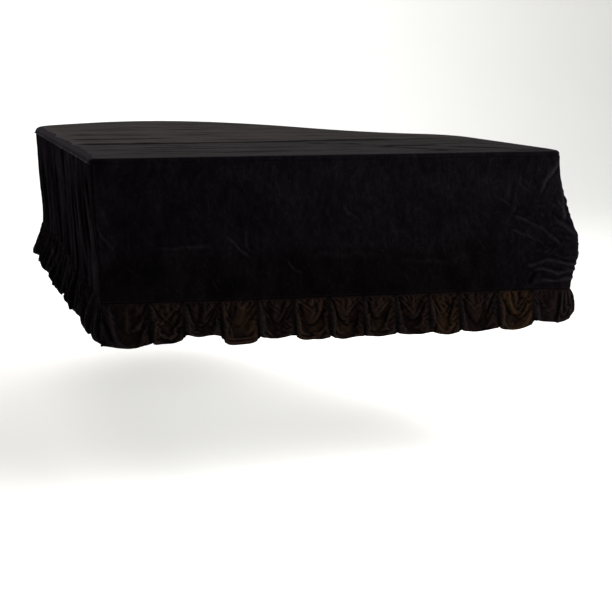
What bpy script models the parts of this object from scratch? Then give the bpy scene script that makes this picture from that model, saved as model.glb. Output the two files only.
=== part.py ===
"""A fitted cloth cover for a grand piano, in the shape in which it hangs on one.

The cover is a top panel that rolls over the lid's edge, four skirt panels sewn under it and a
pleated frill along their lower edge. The front skirt is plain and falls forward over the arms
and the key slip. The other three are gathered into the top panel and hang in soft folds.

Metres, +Z up. The origin is on the underside of the top panel, where it lies on the lid. +X runs
from the bass side to the treble side, and +Y from the keyboard to the tail.
"""

import math
import random

import bmesh
import bpy
import numpy as np
from mathutils import Vector

# Plan of the cover, in metres from its front left corner
COVER_WIDTH = 1.502
FRONT_LEFT_RADIUS = 0.014
FRONT_RIGHT_RADIUS = 0.045
LID_CENTRE = (0.68, 0.82)  # where the origin stands in the plan

# The treble side, bent side, tail and spine, anticlockwise: a row for each point of the edge,
# with its x, its y and the heading of the edge there in degrees
PLAN_ANCHORS = (
    (1.502, 0.660, 90),
    (1.410, 0.860, 147),
    (1.085, 1.330, 111),
    (0.555, 1.908, 180),
    (0.092, 1.640, 222),
    (0.000, 1.350, 270),
)
BENT_END_ANCHOR = 2  # the bent panel ends part of the way from this anchor to the next
BENT_END_SHARE = 0.45
SWEEP_STEPS = 60

# The cloth and its drop below the top panel's outer face
CLOTH = 0.002
GAP = 0.0003  # between a piece and the one sewn under it
SIDE_GAP = 0.0006  # between two panels side by side
EDGE_ROLL = 0.012
LIP_DROP = 0.018
SEAM_DROP = 0.393  # of the seam between skirt and frill, at the front left corner
SEAM_FALL = 0.038  # the seam lies lower at the treble corner
SEAM_FALL_POWER = 0.7  # and falls most at the bass end of the front
SEAM_RISE = 0.034  # it lies higher round the tail
RISE_START = 0.45  # in y
RISE_LENGTH = 0.80
HEM_DROP = 0.518
FRONT_LEAN = 0.006  # the skirt hangs this far in under the lid, at the frill's seam
SIDE_LEAN = 0.013
LEAN_CHANGE = 0.10  # the two leans run into each other over this length

# How far the front stands forward over the arms and the key slip: drop, reach
FRONT_REACH = ((0.0, 0.0), (0.06, 0.004), (0.15, 0.040), (0.256, 0.084), (0.33, 0.088), (0.52, 0.084))
REACH_FADE = 0.34  # the sides are drawn forward over this length
ARM_WIDTH = 0.14
FRONT_SAG = 0.012  # between the arms the front hangs back this far
SAG_DROP = 0.12  # and all of it from this drop on

# Treble corner, where the cloth is loose
# drop, how far it stands out
CORNER_BULGE = (
    (0.0, 0.0),
    (0.12, 0.003),
    (0.20, 0.015),
    (0.27, 0.035),
    (0.33, 0.038),
    (0.39, 0.023),
    (0.52, 0.018),
)
CORNER_BULGE_LENGTH = 0.14

# Gathers of the side panels
GATHER_PITCH = 0.086
GATHER_DEPTH = 0.022
GATHER_FULL_DROP = 0.13
GATHER_AT_SEAM = 0.35  # share of the depth that shows at the top seam
GATHER_SCATTER = 0.2  # of a crest's place, in gathers
GATHER_DRIFT = 0.008  # how far a fold wanders sideways on its way down
# The least and most rise, in depths, near the top seam and near the frill
CREST_ABOVE, CREST_BELOW = (-0.1, 0.1), (-0.25, 0.1)
TROUGH_ABOVE, TROUGH_BELOW = (-1.2, -0.6), (-1.3, -0.5)
SKIRT_ROWS = (0.0, 0.11, 0.23, 0.35, 0.49, 0.635, 0.80, 1.0)  # shares of the skirt's drop

# Soft swells of the front skirt: x, drop, half width, half height, rise
FRONT_SWELLS = (
    (0.16, 0.20, 0.07, 0.10, -0.006),
    (0.42, 0.14, 0.08, 0.11, 0.005),
    (0.66, 0.22, 0.09, 0.09, -0.005),
    (0.93, 0.15, 0.08, 0.12, 0.005),
    (1.20, 0.24, 0.07, 0.09, -0.006),
    (1.38, 0.16, 0.05, 0.10, 0.008),
)
FRONT_STEP = 0.06
SWELL_START = 0.05  # the swells grow over this much drop

# The frill, with the front's pleats as they hang: tuck's x, how far the pleat after it drops
FRONT_PLEATS = (
    (0.144, -0.001),
    (0.242, -0.020),
    (0.353, 0.014),
    (0.463, 0.001),
    (0.574, 0.015),
    (0.685, 0.018),
    (0.795, 0.017),
    (0.900, 0.010),
    (1.012, 0.022),
    (1.115, 0.015),
    (1.248, 0.024),
    (1.368, 0.009),
)
PLEAT_PITCH = 0.108
PLEAT_DEPTH = 0.015
PLEAT_PHASES = (0.0, 0.07, 0.26, 0.5, 0.74, 0.93)
PLEAT_SQUARENESS = 6
PLEAT_SCATTER = 0.14  # of a tuck's place, in pleats
PROUD_PLEAT = 1.6  # every third pleat of the sides stands out this much more
DEPTH_SPREAD = (0.8, 1.15)
DROP_SPREAD = (-0.010, 0.012)
HEM_NOTCH = 0.003  # the hem is this much higher at a tuck
SEAM_DEPTH = 0.25  # share of a pleat's depth at its seam
FULL_DEPTH_SHARE = 0.5  # share of the frill's drop where a pleat has its full depth
SEAM_SHARE = 0.15  # share of the frill's drop where it leaves the skirt's line
SETTLE = 0.5  # share of the skirt's folds that is gone at the hem
FRILL_ROWS = (0.0, 0.2, 0.6, 1.0)  # shares of the frill's drop
FRONT_FLARE = 0.008
SIDE_FLARE = 0.004
END_FLARE = -0.010  # where two strips of frill are sewn end to end
FRILL_END = 0.05
CORNER_LIFT = 0.014  # the hem is this much higher at the treble corner
CORNER_LIFT_LENGTH = 0.07

END_FLAT = 0.006  # a panel's ends lie plain over this length, where two panels are sewn together
EDGE_STEP = 0.09
EDGE_TURN = 15  # degrees
CORNER_TURN = 22
SEEDS = {"spine": 11, "tail": 23, "bent": 37}


def blend(t):
    """A soft step from 0 to 1."""
    t = min(max(t, 0.0), 1.0)
    return t * t * (3 - 2 * t)


def arc(centre, radius, start, end, steps):
    """Points and headings of an anticlockwise arc, by the angles of its radii in degrees."""
    rows = []
    for i in range(steps + 1):
        angle = start + (end - start) * i / steps
        turn = math.radians(angle)
        x = centre[0] + radius * math.cos(turn)
        y = centre[1] + radius * math.sin(turn)
        rows.append((x, y, angle + 90))
    return rows


def sweep(a, b, steps):
    """Points and headings of the smooth curve from anchor a to anchor b, without a itself."""
    start, end = Vector(a[:2]), Vector(b[:2])
    chord = (end - start).length
    out = Vector((math.cos(math.radians(a[2])), math.sin(math.radians(a[2])))) * chord
    into = Vector((math.cos(math.radians(b[2])), math.sin(math.radians(b[2])))) * chord
    rows = []
    for i in range(1, steps + 1):
        t = i / steps
        place = (
            start * (2 * t**3 - 3 * t**2 + 1)
            + out * (t**3 - 2 * t**2 + t)
            + end * (3 * t**2 - 2 * t**3)
            + into * (t**3 - t**2)
        )
        slope = (
            (start - end) * (6 * t**2 - 6 * t)
            + out * (3 * t**2 - 4 * t + 1)
            + into * (3 * t**2 - 2 * t)
        )
        rows.append((place.x, place.y, math.degrees(math.atan2(slope.y, slope.x)) % 360))
    return rows


class Plan:
    """The cover's outline from above, measured along its edge from the front left corner."""

    def __init__(self):
        left, right = FRONT_LEFT_RADIUS, FRONT_RIGHT_RADIUS
        rows = arc((left, left), left, -180, -90, 12)
        rows += arc((COVER_WIDTH - right, right), right, -90, 0, 16)
        front_right = len(rows) - 1
        rows.append(PLAN_ANCHORS[0])
        marks = []
        for a, b in zip(PLAN_ANCHORS, PLAN_ANCHORS[1:]):
            marks.append(len(rows))
            rows += sweep(a, b, SWEEP_STEPS)
        rows.append((0.0, left, 270))
        table = np.array(rows)
        step = np.hypot(np.diff(table[:, 0]), np.diff(table[:, 1]))
        self.along = np.concatenate([[0.0], np.cumsum(step)])
        self.x, self.y = table[:, 0], table[:, 1]
        self.heading = np.degrees(np.unwrap(np.radians(table[:, 2])))
        self.length = self.along[-1]
        bent_end = marks[BENT_END_ANCHOR] + int(SWEEP_STEPS * BENT_END_SHARE)
        spine_start = marks[-1] + SWEEP_STEPS - 1
        self.panels = {
            "front": (0.0, self.along[front_right]),
            "bent": (self.along[front_right], self.along[bent_end]),
            "tail": (self.along[bent_end], self.along[spine_start]),
            "spine": (self.along[spine_start], self.length),
        }

    def at(self, along):
        """The edge's x, y and heading in radians at that length along it."""
        x = np.interp(along, self.along, self.x)
        y = np.interp(along, self.along, self.y)
        heading = np.interp(along, self.along, self.heading)
        return float(x), float(y), math.radians(float(heading))

    def stations(self, step, turn):
        """Lengths along the edge, at most about step metres or turn degrees apart."""
        grades = self.along / step + np.abs(self.heading - self.heading[0]) / turn
        count = int(grades[-1])
        return [float(np.interp(grades[-1] * i / count, grades, self.along)) for i in range(count)]


PLAN = Plan()


def front_columns():
    """Places along the edge of the front skirt's columns, closer together round its corners."""
    start, end = PLAN.panels["front"]
    inner = [s for s in PLAN.stations(FRONT_STEP, EDGE_TURN) if start + END_FLAT < s < end - END_FLAT]
    return [start + SIDE_GAP / 2, start + END_FLAT, *inner, end - END_FLAT, end - SIDE_GAP / 2]


def seam_drop(along):
    """The drop of the seam between skirt and frill."""
    x, y, _ = PLAN.at(along)
    fall = SEAM_FALL * max(x / COVER_WIDTH, 0.0) ** SEAM_FALL_POWER * (1 - blend(y / RISE_START))
    return SEAM_DROP + fall - SEAM_RISE * blend((y - RISE_START) / RISE_LENGTH)


def front_reach(x, y, drop):
    """How far the cloth stands forward at that place in the plan and that drop."""
    drops, reaches = zip(*FRONT_REACH)
    full = float(np.interp(drop, drops, reaches))
    share = 1 - blend(y / REACH_FADE)
    inner = blend(x / ARM_WIDTH) * blend((COVER_WIDTH - x) / ARM_WIDTH)
    hang = FRONT_SAG * inner * blend(drop / SAG_DROP) * blend(1 - y / ARM_WIDTH)
    return full * share - hang


def corner_bulge(along, drop):
    """How far the loose cloth at the treble corner stands out."""
    away = (along - PLAN.panels["front"][1]) / CORNER_BULGE_LENGTH
    drops, bulges = zip(*CORNER_BULGE)
    return float(np.interp(drop, drops, bulges)) * math.exp(-away * away)


def cloth_point(along, drop, offset):
    """A point of the hanging cloth's outer face, in the part's frame."""
    x, y, heading = PLAN.at(along)
    out = offset + corner_bulge(along, drop)
    px = x + out * math.sin(heading)
    py = y - out * math.cos(heading) - front_reach(x, y, drop)
    return Vector((px - LID_CENTRE[0], py - LID_CENTRE[1], CLOTH - drop))


def lean(along, drop):
    """The skirt's own offset from the plan's edge, without its folds."""
    start, end = PLAN.panels["front"]
    side = blend((along - end) / LEAN_CHANGE) * blend((PLAN.length - along) / LEAN_CHANGE)
    full = FRONT_LEAN + (SIDE_LEAN - FRONT_LEAN) * side
    return -full * blend((drop - LIP_DROP) / (seam_drop(along) - LIP_DROP))


def gathers(panel):
    """The crests and troughs of a gathered panel: rows of place, drift, rise above and below."""
    start, end = PLAN.panels[panel]
    draw = random.Random(SEEDS[panel])
    count = 2 * round((end - start) / GATHER_PITCH)
    rows = []
    for i in range(1, count):
        place = start + (end - start) * (i + draw.uniform(-GATHER_SCATTER, GATHER_SCATTER)) / count
        drift = draw.uniform(-GATHER_DRIFT, GATHER_DRIFT)
        crest = i % 2
        above = draw.uniform(*CREST_ABOVE) if crest else draw.uniform(*TROUGH_ABOVE)
        below = draw.uniform(*CREST_BELOW) if crest else draw.uniform(*TROUGH_BELOW)
        rows.append((place, drift, above, below))
    return rows


def gather_columns(panel, between):
    """Columns of a gathered panel, with the columns between each crest and trough."""
    start, end = PLAN.panels[panel]
    rows = [(start + SIDE_GAP / 2, 0.0, 0.0, 0.0), (start + END_FLAT, 0.0, 0.0, 0.0)]
    rows += gathers(panel)
    rows += [(end - END_FLAT, 0.0, 0.0, 0.0), (end - SIDE_GAP / 2, 0.0, 0.0, 0.0)]
    columns = [rows[0], rows[1]]
    for a, b in zip(rows[1:-1], rows[2:-1]):
        for k in range(1, between + 2):
            share = k / (between + 1)
            mixed = [p + (q - p) * share for p, q in zip(a[:2], b[:2])]
            mixed += [p + (q - p) * blend(share) for p, q in zip(a[2:], b[2:])]
            columns.append(tuple(mixed))
    columns.append(rows[-1])
    return columns


def gathered(column, share):
    """Place along the edge, drop and offset of a gathered column at that share of its drop."""
    place, drift, above, below = column
    along = place + drift * share
    top = LIP_DROP + GAP
    drop = top + (seam_drop(along) - top) * share
    growth = blend((drop - LIP_DROP) / GATHER_FULL_DROP)
    depth = GATHER_DEPTH * (GATHER_AT_SEAM + (1 - GATHER_AT_SEAM) * growth)
    return along, drop, lean(along, drop) + depth * (above + (below - above) * blend(share))


def front_offset(along, drop):
    """The front skirt's offset, with its soft swells."""
    x = PLAN.at(along)[0]
    swell = 0.0
    for place, depth, half_width, half_height, rise in FRONT_SWELLS:
        far = ((x - place) / half_width) ** 2 + ((drop - depth) / half_height) ** 2
        swell += rise * math.exp(-far)
    return lean(along, drop) + swell * blend((drop - LIP_DROP) / SWELL_START)


def seam_line(panel):
    """Places along the edge and offsets of a skirt's lower edge, where the frill is sewn on."""
    if panel == "front":
        places = front_columns()
        return places, [front_offset(s, seam_drop(s)) for s in places]
    low = [gathered(column, 1.0) for column in gather_columns(panel, 1)]
    return [row[0] for row in low], [row[2] for row in low]


def frill_pleats(panel):
    """The frill's pleats: rows of start, end, depth and extra drop."""
    start, end = PLAN.panels[panel]
    if panel == "front":
        first = math.pi / 2 * FRONT_LEFT_RADIUS - FRONT_LEFT_RADIUS
        tucks = [first + x for x, _ in FRONT_PLEATS]
        return [
            (a, b, PLEAT_DEPTH, extra)
            for a, b, (_, extra) in zip([start, *tucks], [*tucks, end], [(0, 0.0), *FRONT_PLEATS])
        ]
    draw = random.Random(SEEDS[panel] + 1)
    count = round((end - start) / PLEAT_PITCH)
    places = [start]
    for i in range(1, count):
        scatter = draw.uniform(-PLEAT_SCATTER, PLEAT_SCATTER)
        places.append(start + (end - start) * (i + scatter) / count)
    places.append(end)
    rows = []
    for i, (a, b) in enumerate(zip(places, places[1:])):
        proud = PROUD_PLEAT if i % 3 == 1 else 1.0
        rows.append((a, b, PLEAT_DEPTH * proud * draw.uniform(*DEPTH_SPREAD), draw.uniform(*DROP_SPREAD)))
    return rows


def frill_columns(panel):
    """The frill's columns: rows of place, arch, depth and how much further the hem drops."""
    start, end = PLAN.panels[panel]
    pleats = frill_pleats(panel)
    places = [start + END_FLAT, end - END_FLAT]
    wanted = [a + (b - a) * phase for a, b, _, _ in pleats for phase in PLEAT_PHASES]
    for place in (*wanted, *PLAN.stations(PLAN.length, CORNER_TURN)):
        if start < place < end and min(abs(place - other) for other in places) > END_FLAT / 2:
            places.append(place)
    columns = []
    for place in (start + SIDE_GAP / 2, *sorted(places), end - SIDE_GAP / 2):
        i = max(k for k, pleat in enumerate(pleats) if pleat[0] <= place)
        a, b, depth, extra = pleats[i]
        across = 2 * (place - a) / (b - a) - 1
        tuck = across**PLEAT_SQUARENESS
        beside = i - 1 if across < 0 else i + 1
        extra_beside = pleats[beside][3] if 0 <= beside < len(pleats) else -extra
        hem = extra + ((extra_beside - extra) / 2 - HEM_NOTCH) * tuck - corner_lift(place)
        columns.append((place, 1 - tuck, depth, hem))
    return columns


def corner_lift(along):
    """How much higher the hem is near the treble corner."""
    away = (along - PLAN.panels["front"][1]) / CORNER_LIFT_LENGTH
    return CORNER_LIFT * math.exp(-away * away)


def new_collection(name):
    found = bpy.data.collections.new(name)
    bpy.context.scene.collection.children.link(found)
    return found


def velvet(name, colour, roughness):
    """A dark pile cloth."""
    material = bpy.data.materials.new(name)
    material.use_nodes = True
    shader = material.node_tree.nodes["Principled BSDF"]
    shader.inputs["Base Color"].default_value = (*colour, 1.0)
    shader.inputs["Roughness"].default_value = roughness
    shader.inputs["Metallic"].default_value = 0.0
    return material


def finish(name, mesh, material, collection):
    """An object of that open sheet, given the cloth's thickness on its inner side."""
    mesh.materials.append(material)
    mesh.shade_smooth()
    obj = bpy.data.objects.new(name, mesh)
    collection.objects.link(obj)
    wall = obj.modifiers.new("cloth", "SOLIDIFY")
    wall.thickness = CLOTH
    wall.offset = -1.0
    return obj


def hanging_sheet(name, columns, rows, place, material, collection):
    """A sheet from a grid: place(column, row) gives each point, with row 0 at the lower edge."""
    build = bmesh.new()
    bmesh.ops.create_grid(build, x_segments=columns - 1, y_segments=rows - 1, size=1.0)
    for vert in build.verts:
        column = round((vert.co.x + 1) / 2 * (columns - 1))
        row = round((vert.co.y + 1) / 2 * (rows - 1))
        vert.co = place(column, row)
    mesh = bpy.data.meshes.new(name)
    build.to_mesh(mesh)
    build.free()
    return finish(name, mesh, material, collection)


def rim_point(along, inset, drop):
    """A point of the top panel's outer face, near the lid's edge."""
    x, y, heading = PLAN.at(along)
    px = x - inset * math.sin(heading) - LID_CENTRE[0]
    py = y + inset * math.cos(heading) - LID_CENTRE[1]
    return Vector((px, py, CLOTH - drop))


def make_top_panel(material, collection):
    """The panel over the lid: flat, rolled over the lid's edge and ending in a short lip."""
    stations = PLAN.stations(EDGE_STEP, EDGE_TURN)
    build = bmesh.new()
    ring = [build.verts.new(rim_point(s, EDGE_ROLL, 0.0)) for s in stations]
    build.faces.new(ring)
    edges = list(build.edges)
    place_of = dict(zip(ring, stations))
    sections = [
        (EDGE_ROLL * (1 - math.sin(turn)), EDGE_ROLL * (1 - math.cos(turn)))
        for turn in (math.pi / 4, math.pi / 2)
    ]
    for inset, drop in (*sections, (0.0, LIP_DROP)):
        grown = bmesh.ops.extrude_edge_only(build, edges=edges)["geom"]
        edges = [item for item in grown if isinstance(item, bmesh.types.BMEdge)]
        below = {}
        for vert in (item for item in grown if isinstance(item, bmesh.types.BMVert)):
            above = next(e.other_vert(vert) for e in vert.link_edges if e.other_vert(vert) in place_of)
            below[vert] = place_of[above]
            vert.co = rim_point(below[vert], inset, drop)
        place_of = below
        edges = [edge for edge in edges if all(vert in place_of for vert in edge.verts)]
    mesh = bpy.data.meshes.new("top_panel")
    build.to_mesh(mesh)
    build.free()
    return finish("top_panel", mesh, material, collection)


def make_front_skirt(material, collection):
    """The plain panel over the keyboard, its cloth drawn forward over the arms and key slip."""
    columns = front_columns()
    top = LIP_DROP + GAP

    def place(column, row):
        along = columns[column]
        drop = top + (seam_drop(along) - top) * SKIRT_ROWS[-1 - row]
        return cloth_point(along, drop, front_offset(along, drop))

    return hanging_sheet("front_skirt", len(columns), len(SKIRT_ROWS), place, material, collection)


def make_gathered_skirt(panel, material, collection):
    """A side panel, gathered into the top panel's seam."""
    columns = gather_columns(panel, 1)

    def place(column, row):
        return cloth_point(*gathered(columns[column], SKIRT_ROWS[-1 - row]))

    return hanging_sheet(f"{panel}_skirt", len(columns), len(SKIRT_ROWS), place, material, collection)


def make_frill(panel, material, collection):
    """The pleated strip sewn along one skirt panel's lower edge."""
    columns = frill_columns(panel)
    places, offsets = seam_line(panel)
    start, end = PLAN.panels[panel]
    own_flare = FRONT_FLARE if panel == "front" else SIDE_FLARE

    def place(column, row):
        along, arch, depth, extra = columns[column]
        share = FRILL_ROWS[-1 - row]
        top = seam_drop(along) + GAP
        drop = top + (HEM_DROP + extra - top) * share
        sewn = float(np.interp(along, places, offsets))
        inner = blend(min(along - start, end - along) / FRILL_END)
        flare = END_FLARE + (own_flare - END_FLARE) * inner
        grown = SEAM_DEPTH + (1 - SEAM_DEPTH) * blend(share / FULL_DEPTH_SHARE)
        out = flare * blend(share) + depth * grown * arch * inner
        settle = 1 - SETTLE * blend(share)
        return cloth_point(along, drop, sewn * settle + out * blend(share / SEAM_SHARE))

    return hanging_sheet(f"{panel}_frill", len(columns), len(FRILL_ROWS), place, material, collection)


def main():
    for obj in list(bpy.data.objects):
        bpy.data.objects.remove(obj, do_unlink=True)
    cover = new_collection("grand_piano_cover")
    top_cloth = velvet("top_velvet", (0.012, 0.011, 0.012), 0.75)
    skirt_cloth = velvet("skirt_velvet", (0.006, 0.006, 0.008), 0.8)
    frill_cloth = velvet("frill_velvet", (0.010, 0.008, 0.006), 0.8)
    make_top_panel(top_cloth, cover)
    make_front_skirt(skirt_cloth, cover)
    for panel in SEEDS:
        make_gathered_skirt(panel, skirt_cloth, cover)
    for panel in PLAN.panels:
        make_frill(panel, frill_cloth, cover)


main()
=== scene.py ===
import math
import random

import bpy
import numpy as np
from bpy.props import FloatProperty, FloatVectorProperty, PointerProperty
from bpy.types import Operator, Panel, PropertyGroup
from mathutils import Matrix, Vector
from mathutils.geometry import delaunay_2d_cdt


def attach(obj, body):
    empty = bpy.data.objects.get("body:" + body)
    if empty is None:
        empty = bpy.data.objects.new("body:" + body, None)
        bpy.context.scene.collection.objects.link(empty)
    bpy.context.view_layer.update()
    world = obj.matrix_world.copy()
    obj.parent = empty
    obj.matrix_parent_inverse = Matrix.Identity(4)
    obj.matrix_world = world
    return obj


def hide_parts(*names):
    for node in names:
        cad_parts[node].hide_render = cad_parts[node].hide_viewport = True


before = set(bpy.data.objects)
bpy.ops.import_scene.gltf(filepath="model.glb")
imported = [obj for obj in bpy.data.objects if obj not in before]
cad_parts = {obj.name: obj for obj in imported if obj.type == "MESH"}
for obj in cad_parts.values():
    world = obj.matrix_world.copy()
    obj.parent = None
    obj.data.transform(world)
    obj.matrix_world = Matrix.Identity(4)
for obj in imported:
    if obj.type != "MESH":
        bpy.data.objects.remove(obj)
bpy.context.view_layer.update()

bl_info = {
    "name": "Grand piano cover",
    "version": (1, 0, 0),
    "blender": (4, 5, 0),
    "location": "3D View > Sidebar > Cover",
    "description": "Makes a fitted grand piano cover in black velvet, with gathered sides and a frill",
    "category": "Object",
}

# Plan of the cover, in metres from its front left corner, as in its solids
COVER_WIDTH = 1.502
FRONT_LEFT_RADIUS = 0.014
FRONT_RIGHT_RADIUS = 0.045
PLAN_CENTRE = (0.68, 0.82)

# The treble side, bent side, tail and spine: x, y and the heading of the edge in degrees
PLAN_ANCHORS = (
    (1.502, 0.660, 90),
    (1.410, 0.860, 147),
    (1.085, 1.330, 111),
    (0.555, 1.908, 180),
    (0.092, 1.640, 222),
    (0.000, 1.350, 270),
)
BENT_END_ANCHOR = 2
BENT_END_SHARE = 0.45

# Drops below the top panel's outer face
TOP_LEVEL = 0.002
GAP = 0.0003
SIDE_GAP = 0.0006
EDGE_ROLL = 0.012
LIP_DROP = 0.018
SEAM_DROP = 0.393
SEAM_FALL = 0.038
SEAM_FALL_POWER = 0.7
SEAM_RISE = 0.034
RISE_START = 0.45
RISE_LENGTH = 0.80
HEM_DROP = 0.518
FRONT_LEAN = 0.006
SIDE_LEAN = 0.013
LEAN_CHANGE = 0.10

# How far the front stands forward, all but its two edges: drop, reach
FRONT_REACH = ((0.0, 0.0), (0.06, 0.004), (0.15, 0.040), (0.256, 0.084), (0.33, 0.088), (0.52, 0.084))
REACH_FADE = 0.34
REACH_EDGE = 0.14
FRONT_SAG = 0.012

# Treble corner: drop, how far the loose cloth stands out
CORNER_BULGE = (
    (0.0, 0.0),
    (0.12, 0.003),
    (0.20, 0.015),
    (0.27, 0.035),
    (0.33, 0.038),
    (0.39, 0.023),
    (0.52, 0.018),
)
CORNER_BULGE_LENGTH = 0.14

# Gathers of the side panels
GATHER_PITCH = 0.086
GATHER_FULL_DROP = 0.13
GATHER_AT_SEAM = 0.60
SEEDS = {"spine": 11, "tail": 23, "bent": 37}
FRONT_SEED = 5
END_FLAT = 0.006
TIGHT_FOLD = 0.012  # width of the smallest folds, and of those a little wider
WIDE_FOLD = 0.030

# Soft swells of the front skirt: x, drop, half width, half height, rise
FRONT_SWELLS = (
    (0.16, 0.20, 0.07, 0.10, -0.006),
    (0.42, 0.14, 0.08, 0.11, 0.005),
    (0.66, 0.22, 0.09, 0.09, -0.005),
    (0.93, 0.15, 0.08, 0.12, 0.005),
    (1.20, 0.24, 0.07, 0.09, -0.006),
    (1.38, 0.16, 0.05, 0.10, 0.008),
)

# Creases of the front skirt: x and drop of one end, x and drop of the other, half width, rise
FRONT_CREASES = (
    (0.006, 0.178, 0.020, 0.212, 0.005, 0.0028),
    (0.018, 0.207, 0.046, 0.242, 0.005, 0.0034),
    (0.030, 0.140, 0.040, 0.184, 0.009, 0.0016),
    (0.172, 0.246, 0.232, 0.252, 0.005, 0.0024),
    (0.222, 0.254, 0.322, 0.253, 0.006, 0.0026),
    (0.330, 0.116, 0.331, 0.168, 0.004, 0.0020),
    (0.407, 0.092, 0.391, 0.146, 0.004, 0.0020),
    (0.432, 0.206, 0.434, 0.268, 0.004, 0.0024),
    (0.370, 0.226, 0.434, 0.288, 0.006, 0.0028),
    (0.461, 0.220, 0.462, 0.262, 0.004, 0.0016),
    (0.318, 0.022, 0.290, 0.060, 0.008, -0.0030),
    (0.740, 0.148, 0.756, 0.180, 0.005, 0.0022),
    (0.750, 0.172, 0.786, 0.192, 0.005, 0.0022),
    (0.823, 0.084, 0.822, 0.130, 0.004, 0.0018),
    (0.725, 0.036, 0.725, 0.076, 0.005, 0.0015),
    (0.556, 0.298, 0.574, 0.322, 0.006, 0.0030),
    (0.574, 0.326, 0.602, 0.336, 0.006, 0.0024),
    (1.482, 0.034, 1.442, 0.082, 0.010, 0.0120),
    (1.446, 0.076, 1.404, 0.132, 0.008, 0.0090),
    (1.484, 0.090, 1.466, 0.212, 0.007, 0.0105),
    (1.342, 0.068, 1.306, 0.172, 0.009, 0.0034),
    (1.316, 0.060, 1.284, 0.150, 0.009, 0.0026),
    (1.300, 0.196, 1.392, 0.236, 0.007, 0.0048),
    (1.392, 0.236, 1.440, 0.290, 0.007, 0.0050),
    (1.440, 0.214, 1.500, 0.262, 0.010, 0.0066),
    (1.290, 0.240, 1.372, 0.268, 0.006, 0.0036),
    (1.346, 0.352, 1.404, 0.334, 0.006, 0.0062),
    (1.404, 0.334, 1.496, 0.352, 0.007, 0.0074),
    (1.372, 0.360, 1.450, 0.376, 0.006, 0.0066),
    (1.440, 0.378, 1.500, 0.368, 0.007, 0.0074),
    (1.384, 0.404, 1.500, 0.396, 0.006, 0.0084),
    (1.374, 0.378, 1.352, 0.408, 0.010, -0.0080),
    (0.900, 0.318, 1.080, 0.326, 0.010, 0.0016),
    (0.640, 0.288, 0.860, 0.296, 0.012, 0.0014),
)

# Creases of the top panel: x and y of the left end, x and y of the right, width of the rise that
# faces the front, rise; behind it the cloth falls back slowly
TOP_CREASES = (
    (-0.020, 0.506, 0.300, 0.528, 0.006, 0.0050),
    (0.260, 0.528, 0.780, 0.530, 0.006, 0.0044),
    (0.740, 0.524, 1.130, 0.568, 0.007, 0.0046),
    (1.080, 0.568, 1.440, 0.622, 0.008, 0.0036),
    (0.960, 0.300, 1.140, 0.060, 0.014, 0.0040),
    (0.990, 0.252, 1.180, 0.246, 0.010, 0.0046),
    (0.780, 0.436, 0.960, 0.386, 0.012, 0.0030),
    (1.140, 0.206, 1.400, 0.120, 0.010, 0.0030),
    (0.040, 0.286, 0.820, 0.322, 0.014, 0.0020),
    (0.020, 0.745, 0.420, 0.765, 0.012, 0.0024),
    (0.060, 0.985, 0.640, 0.905, 0.012, 0.0026),
    (0.320, 1.450, 0.900, 1.300, 0.014, 0.0022),
    (1.360, 0.450, 1.470, 0.190, 0.012, 0.0024),
    (0.400, 0.640, 1.020, 0.660, 0.012, 0.0018),
    (0.100, 0.130, 0.560, 0.150, 0.012, 0.0016),
)
TOP_CREASE_TAIL = 9  # how many times wider a crease is behind than in front
CREASE_WAVER = 0.006  # how far a crease strays from its straight line

# The top panel's copies of one velvet, in the order of its material slots: their sheen and tint paint its
# light and shade, lit on the top itself, shaded on its rim, on its front roll and in front of its long
# crease, and with a painted highlight on the seam's bead
TOP_VELVET_COPIES = ("top", "rim", "skirt", "fore", "bead")
TOP, SHADED_RIM, SKIRT, SHADED_FORE, HIGHLIT_BEAD = range(len(TOP_VELVET_COPIES))
RIM_BAND = 0.026  # width of the margin along the top's edge that takes the shaded rim copy, a painted shade
TOP_GRID = (0.014, 0.0065)  # the top's points across and along: its creases run across
TOP_LENGTH = 1.92
LUMP_START = 0.008  # drop at which the lumps of the seam's edge are at their full height
EDGE_LUMPS = (0.0024, 0.0014)  # wide ones and small ones
EDGE_PINCHES = 0.0028
EDGE_WAVER = 0.0015
SEAM_RIDGE = 0.0030
EDGE_SAG = 0.0022  # how far the top sags at its front edge, and from how far in
EDGE_SAG_LENGTH = 0.055
TOP_WAVES = (0.0019, 0.0008)  # height of its wide waves and of its narrow ones
CREASE_RUB_AND_HIGHLIGHT = 24  # for a metre of a crease's rise: how much paler its crest gets, as rubbed pile with a painted highlight, and how much lighter its tone, as painted light on the ridge and painted shade in its trough
CREASE_LIGHT_AND_SHADE = 34
SIDE_TONE = 0.45  # how light the pile of the top and of its roll is

# The front frill's pleats: the tuck's x, how much further the pleat after it drops
FRONT_PLEATS = (
    (0.144, -0.001),
    (0.242, -0.020),
    (0.353, 0.017),
    (0.463, 0.001),
    (0.574, 0.015),
    (0.685, 0.018),
    (0.795, 0.019),
    (0.900, 0.021),
    (1.012, 0.029),
    (1.115, 0.025),
    (1.248, 0.028),
    (1.368, 0.004),
)
# How strong the painted warm highlight on each of those pleats is, from the left: it stands in for light off
# the floor
FRONT_PLEAT_HIGHLIGHTS = (0.30, 0.50, 0.28, 0.88, 0.38, 1.0, 0.68, 0.62, 0.45, 1.05, 0.38, 1.55, 0.10)
PLEAT_PITCH = 0.108
FRONT_FLARE = 0.010
SIDE_FLARE = 0.005
FAR_FLARE = 0.028  # added towards the tail
HEM_RISE = 0.016  # of the hem, towards the tail
END_FLARE = -0.010
FRILL_END = 0.05
HEM_NOTCH = 0.001
CORNER_LIFT = 0.014
CORNER_LIFT_LENGTH = 0.07

# The frill's relief
PUFF = 0.008  # how far a pleat swells at mid height
TURN_IN = 0.006  # how far its hem turns back in
PLEAT_TILT = 0.004
FOLDED_EDGE = 0.003
FRILL_WRINKLE = 0.0040
WRINKLE_REACH = 0.030
PINCH = 0.004
HEM_WAVER = 0.0022
HEM_GROOVE = 0.0007
LOOSE_CORNER = 0.016
TREBLE_LENGTH = 0.12

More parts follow.
